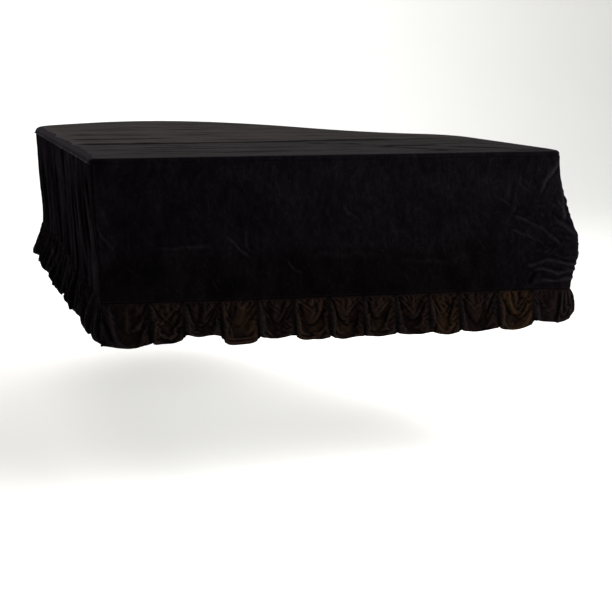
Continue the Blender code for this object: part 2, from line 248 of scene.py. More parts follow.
HEM_FOLD = 0.012  # the turned hem's height
ALLOWANCE = 0.006  # how far a panel is sewn in behind the next one
TUCK = 0.0022
SEAM_STITCH_UP = 0.005  # how far above the skirt's lower edge its stitches run
NOISE_CELLS = 64
SKIRT_ROWS = {"front": 88, "spine": 66, "tail": 66, "bent": 66}

# The frill is cut fuller than its seam, and hangs for a moment
FRILL_ROWS = 36
FRILL_FULLNESS = 0.07
FRILL_START_SHARE = 0.98
SETTLE_FRAMES = 26
TUCK_HELD = 0.9

# How sharply the cloth bends, in radians to a metre, where a fold counts as fully sharp
FRONT_BEND = 170
GATHER_BEND = 190
FRILL_BEND = 90

# The velvet's patterns, in cells to a metre. The tips of real pile stand about 0.3 mm apart, too fine
# to show, so they are drawn 1 mm apart.
FLECKS = 160.0
PILE_TIPS = 900.0
THREAD_TWISTS = 1400.0

# Where the camera stood, in metres from the plan's front left corner, and its turn in degrees
CAMERA_PLACE = (-0.4605, -3.1406, 0.267)
CAMERA_YAW = 19.246
CAMERA_PITCH = 12.229
CAMERA_ROLL = 0.667

# The studio floor: half its width, where it turns up behind the cover, the bend's radius, wall height
FLOOR_REACH = 14.0
BEND_START = 5.0
BEND_RADIUS = 3.0
WALL_HEIGHT = 9.0
WHITE = (1.0, 1.0, 1.0)
OVERHEAD_WHITE = (1.0, 0.98, 0.97)
WARM = (1.0, 0.70, 0.40)


def srgb(code):
    """A hex colour as linear red, green and blue."""
    parts = [int(code[i : i + 2], 16) / 255 for i in (0, 2, 4)]
    return tuple(p / 12.92 if p <= 0.04045 else ((p + 0.055) / 1.055) ** 2.4 for p in parts)


class CoverSizes(PropertyGroup):
    """Sizes of the cloth and of its sewing"""

    cloth: FloatProperty(
        name="Cloth thickness", description="Thickness of the velvet with its pile",
        default=0.0016, unit="LENGTH",
    )
    mesh_step: FloatProperty(
        name="Mesh step", description="Distance between the cloth's points",
        default=0.0045, unit="LENGTH",
    )
    gather_depth: FloatProperty(
        name="Gather depth", description="Depth of the side panels' main folds",
        default=0.022, unit="LENGTH",
    )
    fine_gather: FloatProperty(
        name="Fine gather depth", description="Depth of the small folds at the seams",
        default=0.0030, unit="LENGTH",
    )
    pleat_depth: FloatProperty(
        name="Pleat depth", description="How far a pleat of the frill stands out",
        default=0.015, unit="LENGTH",
    )
    crumple: FloatProperty(
        name="Crumple", description="Height of the wrinkles that handling left",
        default=0.0011, unit="LENGTH",
    )
    stitch: FloatProperty(
        name="Stitch length", description="Length of a stitch",
        default=0.0035, unit="LENGTH",
    )
    stitch_step: FloatProperty(
        name="Stitch step", description="Distance from stitch to stitch",
        default=0.0055, unit="LENGTH",
    )
    thread: FloatProperty(
        name="Thread radius", description="Radius of the thread",
        default=0.00035, unit="LENGTH",
    )


class CoverColours(PropertyGroup):
    """Colours of the velvet's pile, set part by part as painted light and shade of one velvet, and of the
    floor
    """

    top_pile: FloatVectorProperty(
        name="Top pile", description="Colour of the top's pile",
        subtype="COLOR", size=3, default=srgb("070607"),
    )
    skirt_pile: FloatVectorProperty(
        name="Front pile", description="Colour of the front's pile",
        subtype="COLOR", size=3, default=srgb("080609"),
    )
    side_pile: FloatVectorProperty(
        name="Side pile", description="Colour of the gathered panels' pile",
        subtype="COLOR", size=3, default=srgb("0e0c0e"),
    )
    frill_pile: FloatVectorProperty(
        name="Frill pile", description="Colour of the frill's pile",
        subtype="COLOR", size=3, default=srgb("080506"),
    )
    # The frill's painted warm highlight, standing in for light off the floor on its puffs
    frill_painted_highlight: FloatVectorProperty(
        name="Frill glow", description="Colour of the frill where its puffs face the floor",
        subtype="COLOR", size=3, default=srgb("271b0e"),
    )
    # Crests and crease ridges: pile rubbed flat, with a painted highlight
    rubbed_and_highlit: FloatVectorProperty(
        name="Rubbed crests", description="Colour where a crease lays the pile flat",
        subtype="COLOR", size=3, default=srgb("1f1e21"),
    )
    floor: FloatVectorProperty(
        name="Floor", description="Colour of the floor and wall",
        subtype="COLOR", size=3, default=srgb("efefed"),
    )


class CoverStage(PropertyGroup):
    """Sizes and lights of the stage"""

    top_height: FloatProperty(
        name="Top height", description="Height of the cover's top above the floor",
        default=1.035, unit="LENGTH",
    )
    lens: FloatProperty(
        name="Lens", description="Focal length on a 36 mm sensor, in millimetres",
        default=66.41, unit="CAMERA",
    )
    key_power: FloatProperty(
        name="Front power", description="Power of the soft light in front",
        default=240, unit="POWER",
    )
    back_power: FloatProperty(
        name="Overhead power", description="Power of the large soft light over the tail",
        default=150, unit="POWER",
    )
    wall_power: FloatProperty(
        name="Wall power", description="Power of the light on the backdrop",
        default=200, unit="POWER",
    )
    warm_power: FloatProperty(
        name="Warm power", description="Power of the low warm light in front",
        default=26, unit="POWER",
    )
    floor_power: FloatProperty(
        name="Floor power", description="Power of the light that fills the shadow",
        default=6, unit="POWER",
    )
    sky: FloatProperty(
        name="Sky", description="Brightness of the even light all round",
        default=0.60,
    )


def blend(t):
    """A soft step from 0 to 1."""
    t = np.clip(t, 0.0, 1.0)
    return t * t * (3 - 2 * t)


def noise(seed, u, v):
    """Smooth noise from -1 to 1, one cell to a unit of u and of v."""
    table = np.random.default_rng(seed).uniform(-1, 1, (NOISE_CELLS, NOISE_CELLS))
    u, v = np.broadcast_arrays(u, v)
    cell_u, cell_v = np.floor(u).astype(int), np.floor(v).astype(int)
    share_u, share_v = blend(u - cell_u), blend(v - cell_v)
    low = table[cell_u % NOISE_CELLS, cell_v % NOISE_CELLS]
    right = table[(cell_u + 1) % NOISE_CELLS, cell_v % NOISE_CELLS]
    up = table[cell_u % NOISE_CELLS, (cell_v + 1) % NOISE_CELLS]
    far = table[(cell_u + 1) % NOISE_CELLS, (cell_v + 1) % NOISE_CELLS]
    near_row = low * (1 - share_u) + right * share_u
    far_row = up * (1 - share_u) + far * share_u
    return near_row * (1 - share_v) + far_row * share_v


def crumple(seed, u, v, size):
    """Small creases that cross each other, as on handled velvet: 0 to about 1, sharp at their crests."""
    bend_u = u + 0.6 * size * noise(seed + 5, u / (2.3 * size), v / (2.3 * size))
    bend_v = v + 0.6 * size * noise(seed + 6, u / (2.3 * size), v / (2.3 * size))
    total = 0.0
    for octave, share in enumerate((0.55, 0.30, 0.15)):
        cell = size / 1.9**octave
        total = total + share * (1 - np.abs(2 * noise(seed + octave, bend_u / cell, bend_v / cell)))
    return total


def creases(rows, u, v):
    """The relief of listed creases, each a ridge with a shallow trough on one side."""
    total = np.zeros(np.broadcast(u, v).shape)
    stray_u, stray_v = (CREASE_WAVER * noise(seed, u / 0.035, v / 0.035) for seed in (65, 66))
    u, v = u + stray_u, v + stray_v
    for u0, v0, u1, v1, half_width, rise in rows:
        run_u, run_v = u1 - u0, v1 - v0
        length = math.hypot(run_u, run_v)
        share = ((u - u0) * run_u + (v - v0) * run_v) / length**2
        across = ((u - u0) * run_v - (v - v0) * run_u) / length / (0.8 * half_width)
        fade = blend((share + 0.2) / 0.4) * blend((1.2 - share) / 0.4)
        fade = fade * (0.85 + 0.35 * noise(68, u / 0.040 + 9 * u0, v / 0.040))
        total += rise * fade * (np.exp(-(across**2)) - 0.45 * np.exp(-((across - 1.8) ** 2)))
    return total


def steps(rows, u, v):
    """The relief of creases whose cloth rises steeply in front and falls back slowly behind."""
    total = np.zeros(np.broadcast(u, v).shape)
    v = v + CREASE_WAVER * noise(67, u / 0.09, 0.5)
    for u0, v0, u1, v1, width, rise in rows:
        run_u, run_v = u1 - u0, v1 - v0
        length = math.hypot(run_u, run_v)
        share = ((u - u0) * run_u + (v - v0) * run_v) / length**2
        behind = ((v - v0) * run_u - (u - u0) * run_v) / length / width
        fade = blend((share + 0.12) / 0.3) * blend((1.12 - share) / 0.3)
        total += rise * fade * np.exp(-(np.where(behind < 0, behind, behind / TOP_CREASE_TAIL) ** 2))
    return total


def short_crease(draw, place, slant, lengths, widths, rises):
    """One short crease that starts at a place, as a row like those of FRONT_CREASES."""
    u, v = place
    length = draw.uniform(*lengths)
    run = (length * math.cos(slant), length * math.sin(slant))
    return (u, v, u + run[0], v + run[1], draw.uniform(*widths), draw.uniform(*rises))


def small_creases():
    """The front's many short creases, upright above and slanting near the treble corner."""
    draw = random.Random(57)
    rows = []
    for _ in range(150):
        u, v = draw.uniform(0.03, 1.47), draw.uniform(0.03, 0.38)
        slant = 1.57 + draw.gauss(0, 0.35)
        slant = slant - 0.9 * float(blend((u - 1.0) / 0.3)) - 0.5 * float(blend((v - 0.2) / 0.1))
        rows.append(short_crease(draw, (u, v), slant, (0.012, 0.045), (0.003, 0.005), (0.0003, 0.0009)))
    for _ in range(70):
        u, v = 1.5 - abs(draw.gauss(0, 0.10)), draw.uniform(0.05, 0.40)
        slant = draw.uniform(-0.9, 0.9) + (1.2 if v < 0.17 else 0.0)
        rows.append(short_crease(draw, (u, v), slant, (0.015, 0.050), (0.003, 0.006), (0.0010, 0.0026)))
    return rows


def arc(centre, radius, start, end, steps):
    """Points and headings of an anticlockwise arc, by the angles of its radii in degrees."""
    rows = []
    for i in range(steps + 1):
        angle = start + (end - start) * i / steps
        turn = math.radians(angle)
        rows.append((centre[0] + radius * math.cos(turn), centre[1] + radius * math.sin(turn), angle + 90))
    return rows


def sweep(a, b, steps):
    """Points and headings of the smooth curve from anchor a to anchor b, without a itself."""
    start, end = Vector(a[:2]), Vector(b[:2])
    chord = (end - start).length
    out = Vector((math.cos(math.radians(a[2])), math.sin(math.radians(a[2])))) * chord
    into = Vector((math.cos(math.radians(b[2])), math.sin(math.radians(b[2])))) * chord
    rows = []
    for i in range(1, steps + 1):
        t = i / steps
        place = (
            start * (2 * t**3 - 3 * t**2 + 1)
            + out * (t**3 - 2 * t**2 + t)
            + end * (3 * t**2 - 2 * t**3)
            + into * (t**3 - t**2)
        )
        slope = (
            (start - end) * (6 * t**2 - 6 * t)
            + out * (3 * t**2 - 4 * t + 1)
            + into * (3 * t**2 - 2 * t)
        )
        rows.append((place.x, place.y, math.degrees(math.atan2(slope.y, slope.x)) % 360))
    return rows


class Plan:
    """The cover's outline from above, measured along its edge from the front left corner."""

    def __init__(self):
        left, right = FRONT_LEFT_RADIUS, FRONT_RIGHT_RADIUS
        rows = arc((left, left), left, -180, -90, 12)
        rows += arc((COVER_WIDTH - right, right), right, -90, 0, 16)
        front_right = len(rows) - 1
        rows.append(PLAN_ANCHORS[0])
        marks = []
        for a, b in zip(PLAN_ANCHORS, PLAN_ANCHORS[1:]):
            marks.append(len(rows))
            rows += sweep(a, b, 60)
        rows.append((0.0, left, 270))
        table = np.array(rows)
        step = np.hypot(np.diff(table[:, 0]), np.diff(table[:, 1]))
        self.along = np.concatenate([[0.0], np.cumsum(step)])
        self.x, self.y = table[:, 0], table[:, 1]
        self.heading = np.unwrap(np.radians(table[:, 2]))
        self.length = self.along[-1]
        bent_end = marks[BENT_END_ANCHOR] + int(60 * BENT_END_SHARE)
        self.panels = {
            "front": (0.0, self.along[front_right]),
            "bent": (self.along[front_right], self.along[bent_end]),
            "tail": (self.along[bent_end], self.along[marks[-1] + 59]),
            "spine": (self.along[marks[-1] + 59], self.length),
        }

    def at(self, along):
        """The edge's x, y and heading at each length along it."""
        along = np.mod(along, self.length)
        return tuple(np.interp(along, self.along, row) for row in (self.x, self.y, self.heading))

    def stations(self, step, turn):
        """Lengths along the edge, at most about step metres or turn radians apart."""
        grades = self.along / step + np.abs(self.heading - self.heading[0]) / turn
        count = int(grades[-1])
        return np.interp(grades[-1] * np.arange(count) / count, grades, self.along)


PLAN = Plan()


def rounded_table(rows, width):
    """A short table as a dense one with its corners rounded off: places, values."""
    places = np.linspace(rows[0][0], rows[-1][0], 400)
    sharp = np.interp(places, *zip(*rows))
    weight = np.exp(-(((places[:, None] - places[None, :]) / width) ** 2))
    return places, weight @ sharp / weight.sum(axis=1)


REACH_TABLE = rounded_table(FRONT_REACH, width=0.024)
BULGE_TABLE = rounded_table(CORNER_BULGE, width=0.022)


def columns_of(panel, step):
    """Places along the edge of a panel's columns, closer together round the corners. The last one
    is the seam allowance, behind the next panel."""
    start, end = PLAN.panels[panel]
    inner = PLAN.stations(step, math.radians(6))
    inner = inner[(inner > start + step) & (inner < end - step)]
    return np.concatenate([[start + SIDE_GAP / 2], inner, [end - SIDE_GAP / 2, end + ALLOWANCE]])


def seam_tuck(panel, along):
    """How far inwards the panel's last stretch runs, to lie behind the next panel."""
    end = PLAN.panels[panel][1]
    return TUCK * blend((along - end + ALLOWANCE) / ALLOWANCE)


def seam_drop(along):
    """The drop of the seam between skirt and frill."""
    x, y, _ = PLAN.at(along)
    fall = SEAM_FALL * (x / COVER_WIDTH).clip(0) ** SEAM_FALL_POWER * (1 - blend(y / RISE_START))
    return SEAM_DROP + fall - SEAM_RISE * blend((y - RISE_START) / RISE_LENGTH)


def skirt_drop(along, share):
    """The drop of a skirt's cloth at shares of the way from the top's lip to the frill's seam."""
    top = LIP_DROP + GAP
    return top + (seam_drop(along) - top) * share


def front_reach(x, y, drop):
    """How far the cloth stands forward at that place in the plan and that drop."""
    inner = blend(x / REACH_EDGE) * blend((COVER_WIDTH - x) / REACH_EDGE)
    hang = FRONT_SAG * inner * blend(drop / 0.12) * blend(1 - y / REACH_EDGE)
    level = drop + 0.012 * noise(61, x / 0.17, 0.5) * blend(drop / 0.2)
    return np.interp(level, *REACH_TABLE) * (1 - blend(y / REACH_FADE)) - hang


def corner_bulge(along, drop):
    """How far the loose cloth at the treble corner stands out."""
    away = (along - PLAN.panels["front"][1]) / CORNER_BULGE_LENGTH
    return np.interp(drop, *BULGE_TABLE) * np.exp(-away * away)


def cloth_points(along, drop, offset):
    """Points of the hanging cloth's outer face, in the part's frame."""
    along, drop, offset = np.broadcast_arrays(along, drop, offset)
    x, y, heading = PLAN.at(along)
    out = offset + corner_bulge(along, drop)
    px = x + out * np.sin(heading) - PLAN_CENTRE[0]
    py = y - out * np.cos(heading) - front_reach(x, y, drop) - PLAN_CENTRE[1]
    return np.stack([px, py, TOP_LEVEL - drop], axis=-1)


def lean(along, drop):
    """The skirt's own offset from the plan's edge, without its folds."""
    end = PLAN.panels["front"][1]
    side = blend((along - end) / LEAN_CHANGE) * blend((PLAN.length - along) / LEAN_CHANGE)
    full = FRONT_LEAN + (SIDE_LEAN - FRONT_LEAN) * side
    return -full * blend((drop - LIP_DROP) / (seam_drop(along) - LIP_DROP))


def gathers(panel):
    """The crests and troughs of a gathered panel: rows of place, drift, rise above and below."""
    start, end = PLAN.panels[panel]
    draw = random.Random(SEEDS[panel])
    count = 2 * round((end - start) / GATHER_PITCH)
    rows = [(start + END_FLAT, 0.0, 0.0, 0.0)]
    for i in range(1, count):
        place = start + (end - start) * (i + draw.uniform(-0.2, 0.2)) / count
        drift = draw.uniform(-0.008, 0.008)
        crest = i % 2
        above = draw.uniform(-0.1, 0.1) if crest else draw.uniform(-1.2, -0.6)
        below = draw.uniform(-0.25, 0.1) if crest else draw.uniform(-1.3, -0.5)
        rows.append((place, drift, above, below))
    rows.append((end - END_FLAT, 0.0, 0.0, 0.0))
    return np.array(rows)


def fade_to_ends(panel, along, length):
    """0 at a panel's two ends, 1 once length metres in."""
    start, end = PLAN.panels[panel]
    return blend(np.minimum(along - start, end - along) / length)


def fine_gathers(panel, along, drop, growth, sizes):
    """The small folds between a gathered panel's main ones, deepest at its seams and its ends."""
    start, end = PLAN.panels[panel]
    seed = SEEDS[panel] * 10
    wander = 0.018 * noise(seed, along / 0.11, drop / 0.16)
    own = lane(along, drop)
    tight = np.abs(noise(seed + 1, (own + 0.5 * wander) / TIGHT_FOLD, drop / 0.10)) ** 0.7
    wide = np.abs(noise(seed + 2, (own + wander) / WIDE_FOLD, drop / 0.22)) ** 0.8
    near_seam = np.exp(-(drop - LIP_DROP) / 0.05)
    near_frill = np.exp((drop - seam_drop(along)) / 0.04)
    near_end = np.exp(-np.minimum(along - start, end - along).clip(0) / 0.035)
    uneven = 0.7 + 0.5 * noise(seed + 7, along / 0.045, drop / 0.3)
    fine = (0.20 + 0.55 * near_seam + 0.6 * near_frill) * (tight - 0.5) + 2.0 * growth * (wide - 0.55)
    fine *= sizes.fine_gather * (1 + 1.6 * near_end) * uneven
    return fine + 0.6 * sizes.crumple * crumple(seed + 3, along, drop, 0.045)


def gathered_surface(panel, along, share, sizes):
    """Place, drop and offset of a gathered panel's cloth at shares of its drop."""
    rows = gathers(panel)
    i = np.clip(np.searchsorted(rows[:, 0], along) - 1, 0, len(rows) - 2)
    between = np.clip((along - rows[i, 0]) / (rows[i + 1, 0] - rows[i, 0]), 0, 1)
    soft = blend(between)
    drift = rows[i, 1] + (rows[i + 1, 1] - rows[i, 1]) * between
    above = rows[i, 2] + (rows[i + 1, 2] - rows[i, 2]) * soft
    below = rows[i, 3] + (rows[i + 1, 3] - rows[i, 3]) * soft
    place = along + drift * share
    drop = skirt_drop(place, share)
    growth = blend((drop - LIP_DROP) / GATHER_FULL_DROP)
    depth = sizes.gather_depth * (GATHER_AT_SEAM + (1 - GATHER_AT_SEAM) * growth)
    offset = lean(place, drop) + depth * (above + (below - above) * blend(share))
    fine = fine_gathers(panel, along, drop, growth, sizes)
    return place, drop, offset + fine * fade_to_ends(panel, along, 0.008)


def front_surface(along, share, sizes):
    """Place, drop and offset of the front skirt's cloth at shares of its drop."""
    drop = skirt_drop(along, share)
    x = PLAN.at(along)[0]
    swell = np.zeros(np.broadcast(x, drop).shape)
    for place, depth, half_width, half_height, rise in FRONT_SWELLS:
        swell += rise * np.exp(-(((x - place) / half_width) ** 2) - ((drop - depth) / half_height) ** 2)
    relief = swell + 0.55 * creases(FRONT_CREASES, x, drop) + creases(small_creases(), x, drop)
    handled = crumple(71, along, drop, 0.060) - 0.4
    strokes = noise(91, (along + 0.3 * drop) / 0.013, drop / 0.042)
    flecks = noise(92, along / 0.011, drop / 0.014)
    upper = 1 - blend((drop - 0.13) / 0.12)
    corner = blend((x - 1.15) / 0.25)
    relief += sizes.crumple * handled * (0.6 + 0.8 * corner)
    relief += sizes.crumple * (0.45 * strokes * upper + 0.22 * flecks)
    fade = blend((drop - LIP_DROP) / 0.05) * fade_to_ends("front", along, 0.02)
    return along, drop, lean(along, drop) + relief * fade


def skirt_surface(panel, along, share, sizes):
    """Place, drop and offset of a skirt's cloth, plain in front and gathered elsewhere."""
    if panel == "front":
        return front_surface(along, share, sizes)
    return gathered_surface(panel, along, share, sizes)


def frill_pleats(panel, sizes):
    """The frill's pleats: rows of start, end, depth and extra drop."""
    start, end = PLAN.panels[panel]
    depth = sizes.pleat_depth
    if panel == "front":
        first = math.pi / 2 * FRONT_LEFT_RADIUS - FRONT_LEFT_RADIUS
        tucks = [first + x for x, _ in FRONT_PLEATS]
        extras = [0.0] + [extra for _, extra in FRONT_PLEATS]
        ends = zip([start, *tucks], [*tucks, end], extras)
        return np.array([(a, b, depth, extra) for a, b, extra in ends])
    draw = random.Random(SEEDS[panel] + 1)
    count = round((end - start) / PLEAT_PITCH)
    places = [start]
    places += [start + (end - start) * (i + draw.uniform(-0.14, 0.14)) / count for i in range(1, count)]
    places.append(end)
    rows = []
    for i, (a, b) in enumerate(zip(places, places[1:])):
        proud = 1.6 if i % 3 == 1 else 1.0
        rows.append((a, b, depth * proud * draw.uniform(0.8, 1.15), draw.uniform(-0.010, 0.012)))
    return np.array(rows)


def pleats_at(panel, along, sizes):
    """The frill's pleats, and the number of the pleat at each place."""
    pleats = frill_pleats(panel, sizes)
    return pleats, np.clip(np.searchsorted(pleats[:, 0], along, side="right") - 1, 0, len(pleats) - 1)


def frill_seed(panel):
    """The seed of a frill's noise."""
    return SEEDS.get(panel, FRONT_SEED) * 7


def corner_lift(along):
    """How much higher the hem is near the treble corner."""
    away = (along - PLAN.panels["front"][1]) / CORNER_LIFT_LENGTH
    return CORNER_LIFT * np.exp(-away * away)


def frill_wrinkles(panel, along, share, pleats, i):
    """Folds that spread from the top corners of each pleat, about -1 to 1."""
    start, end = pleats[i, 0], pleats[i, 1]
    below = share * (HEM_DROP - SEAM_DROP)
    seed = frill_seed(panel)
    total = 0.0
    for side, away in enumerate((along - start, end - along)):
        reach = np.hypot(away, below) / WRINKLE_REACH
        angle = np.arctan2(away, below + 0.002)
        ridges = 0.6 - 1.6 * np.abs(noise(seed + 2 + side, angle * 4.5 + 7 * i, reach / 2.2)) ** 0.8
        total = total + ridges * reach * np.exp(1 - reach)
    return total


def frill_hem(panel, along, pleats, i, across):
    """The drop of the frill's hem: each pleat has its own, with a small notch at the tuck."""
    extras = np.concatenate([[-pleats[0, 3]], pleats[:, 3], [-pleats[-1, 3]]])
    extra = pleats[i, 3]
    beside = np.where(across < 0.5, extras[i], extras[i + 2])
    hem = extra + ((beside - extra) / 2 - HEM_NOTCH) * np.abs(2 * across - 1) ** 4 - corner_lift(along)
    inner = fade_to_ends(panel, along, FRILL_END)
    hem = hem + HEM_WAVER * noise(frill_seed(panel) + 6, along / 0.032, 0) * inner
    return HEM_DROP + (hem - HEM_RISE * blend((PLAN.at(along)[1] - 0.3) / 0.9))


def frill_flare(panel, along, inner, treble):
    """How far the frill's hem stands out from its seam."""
    own_flare = FRONT_FLARE
    if panel != "front":
        own_flare = SIDE_FLARE + FAR_FLARE * blend(PLAN.at(along)[1] / 1.3)
    return END_FLARE + (own_flare - END_FLARE) * np.maximum(inner, treble)


def frill_surface(panel, along, share, sizes):
    """Place, drop and offset of the frill's cloth at shares of its drop."""
    pleats, i = pleats_at(panel, along, sizes)
    start, end, depth, _ = np.moveaxis(pleats[i], -1, 0)
    across = (along - start) / (end - start)
    edge = np.abs(2 * across - 1)
    arch = 1 - 0.6 * edge**10 - 0.4 * edge**3
    inner = fade_to_ends(panel, along, FRILL_END)
    treble = np.exp(-(((along - PLAN.panels["front"][1]) / TREBLE_LENGTH) ** 2))
    seed = frill_seed(panel)
    top = seam_drop(along) + GAP
    hem = frill_hem(panel, along, pleats, i, across)
    drop = top + (hem - top) * share * (1 - (1 - FRILL_START_SHARE) * (1 - edge**4))
    below = drop - top
    _, _, sewn = skirt_surface(panel, along, np.ones_like(along), sizes)
    loose = LOOSE_CORNER * treble * np.sin(math.pi * share.clip(0, 1))
    out = frill_flare(panel, along, inner, treble) * blend(share)
    out = out + depth * (0.25 + 0.75 * blend(share / 0.5)) * arch * inner
    belly = 0.6 + 0.4 * noise(seed, i * 1.37 + 0.5, 0.3)
    puff = PUFF * belly * np.sin(math.pi * share**1.3) - TURN_IN * share**3
    tilt = PLEAT_TILT * noise(seed + 1, i * 1.71 + 0.2, 0.5) * (2 * across - 1)
    folded_edge = FOLDED_EDGE * np.exp(-(((across - 0.09) / 0.035) ** 2)) * blend(share / 0.25)
    wrinkle = FRILL_WRINKLE * frill_wrinkles(panel, along, share, pleats, i)
    handled = 1.6 * sizes.crumple * (crumple(seed + 4, along, drop, 0.040) - 0.4) * blend(share / 0.12)
    pinched = 0.0
    if panel != "front":
        pinched = PINCH * (noise(seed + 5, along / 0.015, share * 0.9) - 0.6) * blend(share / 0.15)
    hem_groove = -HEM_GROOVE * np.exp(-(((1 - share) * (HEM_DROP - top) - HEM_FOLD) / 0.0018) ** 2)
    relief = ((puff + tilt + wrinkle + handled) * arch + folded_edge + pinched) * inner + hem_groove
    settled = 1 - 0.5 * blend(share)
    behind = TUCK * np.exp(-below / 0.004)
    drop = np.where(share == 0, drop - ALLOWANCE, drop)
    return along, drop, sewn * settled + (out + relief + loose) * blend(share / 0.15) - behind


def bend_of(points, spacing):
    """How sharply the cloth is bent at each point, outwards above 0 and inwards below it."""
    normal = np.cross(np.gradient(points, axis=0), np.gradient(points, axis=1))
    normal /= np.maximum(np.linalg.norm(normal, axis=-1, keepdims=True), 1e-9)
    bend = np.zeros(points.shape[:2])
    for axis in (0, 1):
        step = np.linalg.norm(np.gradient(points, axis=axis), axis=-1)
        slope = (np.gradient(normal, axis=axis) * np.gradient(points, axis=axis)).sum(axis=-1)
        bend += slope / np.maximum(step, spacing / 4) ** 2
    return bend


def front_tone(along, drop):
    """How light the front's pile is, as painted light and shade: darker at the left, lower down and where the
    cloth turns under, with a little tone that differs at random: tone, the painted warm highlight of the
    underside and the tone's share across."""
    x = PLAN.at(along)[0]
    # Painted light and shade: lighter towards the right, darker where the cloth turns under and lower down;
    # the underside also gets a painted warm highlight
    across = 0.21 + 0.20 * blend(x / 0.75)
    level = drop + 0.014 * noise(413, along / 0.09, drop / 0.12)
    under = blend((level - 0.235) / 0.07) * (1 - blend((x - 1.15) / 0.2))
    tone = across * (1 - 0.58 * under) * (1 - 0.30 * blend((level - 0.09) / 0.10) * blend(x / 0.5))
    tone += 0.07 * noise(411, along / 0.12, drop / 0.10) + 0.09 * noise(412, along / 0.030, drop / 0.045)
    return tone, 0.018 * under, across


def front_pile(along, drop, bend):
    """The front skirt's tone, painted warm highlight and crests: crests and crease ridges pale where the pile
    is rubbed and as painted highlight, the creases' tone with painted light on their ridges and painted shade
    in their troughs, and painted shade at the left corner.
    """
    tone, glow, across = front_tone(along, drop)
    crease_rise = creases(FRONT_CREASES, PLAN.at(along)[0], drop)
    # Crests pale where the pile is rubbed, with a painted highlight that follows the painted light across
    crest = np.clip(bend / FRONT_BEND, 0, 1) * (0.3 + 1.1 * across) + CREASE_RUB_AND_HIGHLIGHT * crease_rise.clip(0)
    # Painted light and shade along the creases, and painted shade at the left corner
    tone = (tone + CREASE_LIGHT_AND_SHADE * crease_rise) * (0.45 + 0.55 * blend((along - 0.012) / 0.02))
    return tone, glow, crest * fade_to_ends("front", along, 0.03)


def lane(along, drop):
    """The place along the edge from which a fold of the spine runs down to here: they slant towards
    the front corner."""
    return along - 0.22 * np.maximum(drop - LIP_DROP, 0) * np.exp(-(PLAN.length - along) / 0.30)


def gathered_pile(panel, along, drop, relief, bend):
    """A gathered skirt's tone, painted warm highlight and crests: painted shade between its folds, at its
    ends and lower down, painted light and dark strands, crests pale where the pile is rubbed and as painted
    highlight, and no painted warm highlight.
    """
    seed = SEEDS[panel] * 10
    own = lane(along, drop)
    # Painted shade between the folds, deepest in their troughs, with painted light and dark strands for the
    # fine folds
    deep = 0.75 + 0.8 * noise(seed + 8, own / 0.07, drop / 0.40)
    strands = 0.42 * noise(seed + 9, own / 0.013, drop / 0.20)
    strands = strands + 0.36 * noise(seed + 4, own / 0.006, drop / 0.11)
    tone = 0.92 * np.clip(1 + deep * relief, 0, 1) ** 2.4 + strands - 0.12
    # Painted shade at the panel's ends and lower down
    tone *= (0.15 + 0.85 * fade_to_ends(panel, along, 0.06)) * (1 - 0.25 * blend((drop - 0.28) / 0.1))
    # Crests pale where the pile is rubbed, with a painted highlight
    crest = np.clip(bend / GATHER_BEND, 0, 1) * fade_to_ends(panel, along, 0.045)
    crest = crest * np.clip(0.2 + 0.8 * tone, 0, 1)
    return tone + 0.02, np.zeros_like(tone), crest


def frill_pile(panel, along, share, bend, sizes):
    """The frill's tone, painted warm highlight and crests: a painted warm highlight on its puffs stands in
    for the light off the floor, painted shade darkens its tucks and the hollows of its folds, one pale line
    of painted highlight runs along the fold of each tuck, and the side frills carry on the skirt's painted
    strands."""
    pleats, i = pleats_at(panel, along, sizes)
    start, end = pleats[i, 0], pleats[i, 1]
    middle = blend((along - start) / 0.016) * blend((end - along) / 0.016)
    ends = blend(share / 0.10) * blend((1.02 - share) / 0.08)
    # Painted warm highlight on each pleat's puff, standing in for light off the floor, strongest mid pleat
    # and weaker at the tucks, top and hem
    turned = np.array(FRONT_PLEAT_HIGHLIGHTS)[i] if panel == "front" else 0.03
    if panel == "front":
        turned = np.where(i == 0, turned * blend(((along - start) / (end - start) - 0.4) / 0.3), turned)
    fold = np.clip(bend / FRILL_BEND, -1, 1)
    grain = noise(401, along / 0.018 + 9 * i, share * 4) + 0.6 * noise(402, along / 0.008, share * 9)
    glow = turned * middle * ends * np.clip(0.36 + 0.40 * fold + 0.26 * grain, 0, 1.2)
    last = (panel == "front") & (i == len(pleats) - 1)
    # Painted shade in the hollows of the folds and at the tucks; the last front pleat lighter where its folds
    # stand out
    shade = np.where(last, np.clip(0.95 + 0.65 * fold, 0.3, 1.7), np.clip(0.5 + 0.5 * fold, 0.1, 1))
    tone = (0.20 + 0.55 * middle) * shade
    # A pale line of painted highlight along each tuck's folded edge
    pale = np.exp(-(((along - start - 0.007) / 0.0028) ** 2)) * (along > pleats[0, 1])
    pale *= blend(share / 0.08) * (0.55 + 0.45 * noise(403, i * 1.3 + 0.5, share * 3))
    crest = 0.45 * pale + 0.4 * np.clip(bend / GATHER_BEND, 0, 1) * (1 - 0.6 * np.minimum(turned, 1))
    # The first front pleat darker; the side frills carry on the skirt's painted light and dark strands,
    # darker towards the hem
    if panel == "front":
        tone *= np.where(i == 0, 0.8, 1.0)
    else:
        strands = noise(SEEDS[panel] * 10 + 9, lane(along, HEM_DROP) / 0.013, share * 0.6)
        near_front = np.exp(-(PLAN.length - along) / 0.22)
        streaks = (0.65 + 0.5 * near_front) * np.clip(strands + 0.35, 0, 1)
        streaks = streaks * (1 - 0.75 * blend(share / 0.8))
        tone = 0.30 * tone + streaks
    return tone, glow, crest * fade_to_ends(panel, along, 0.02)


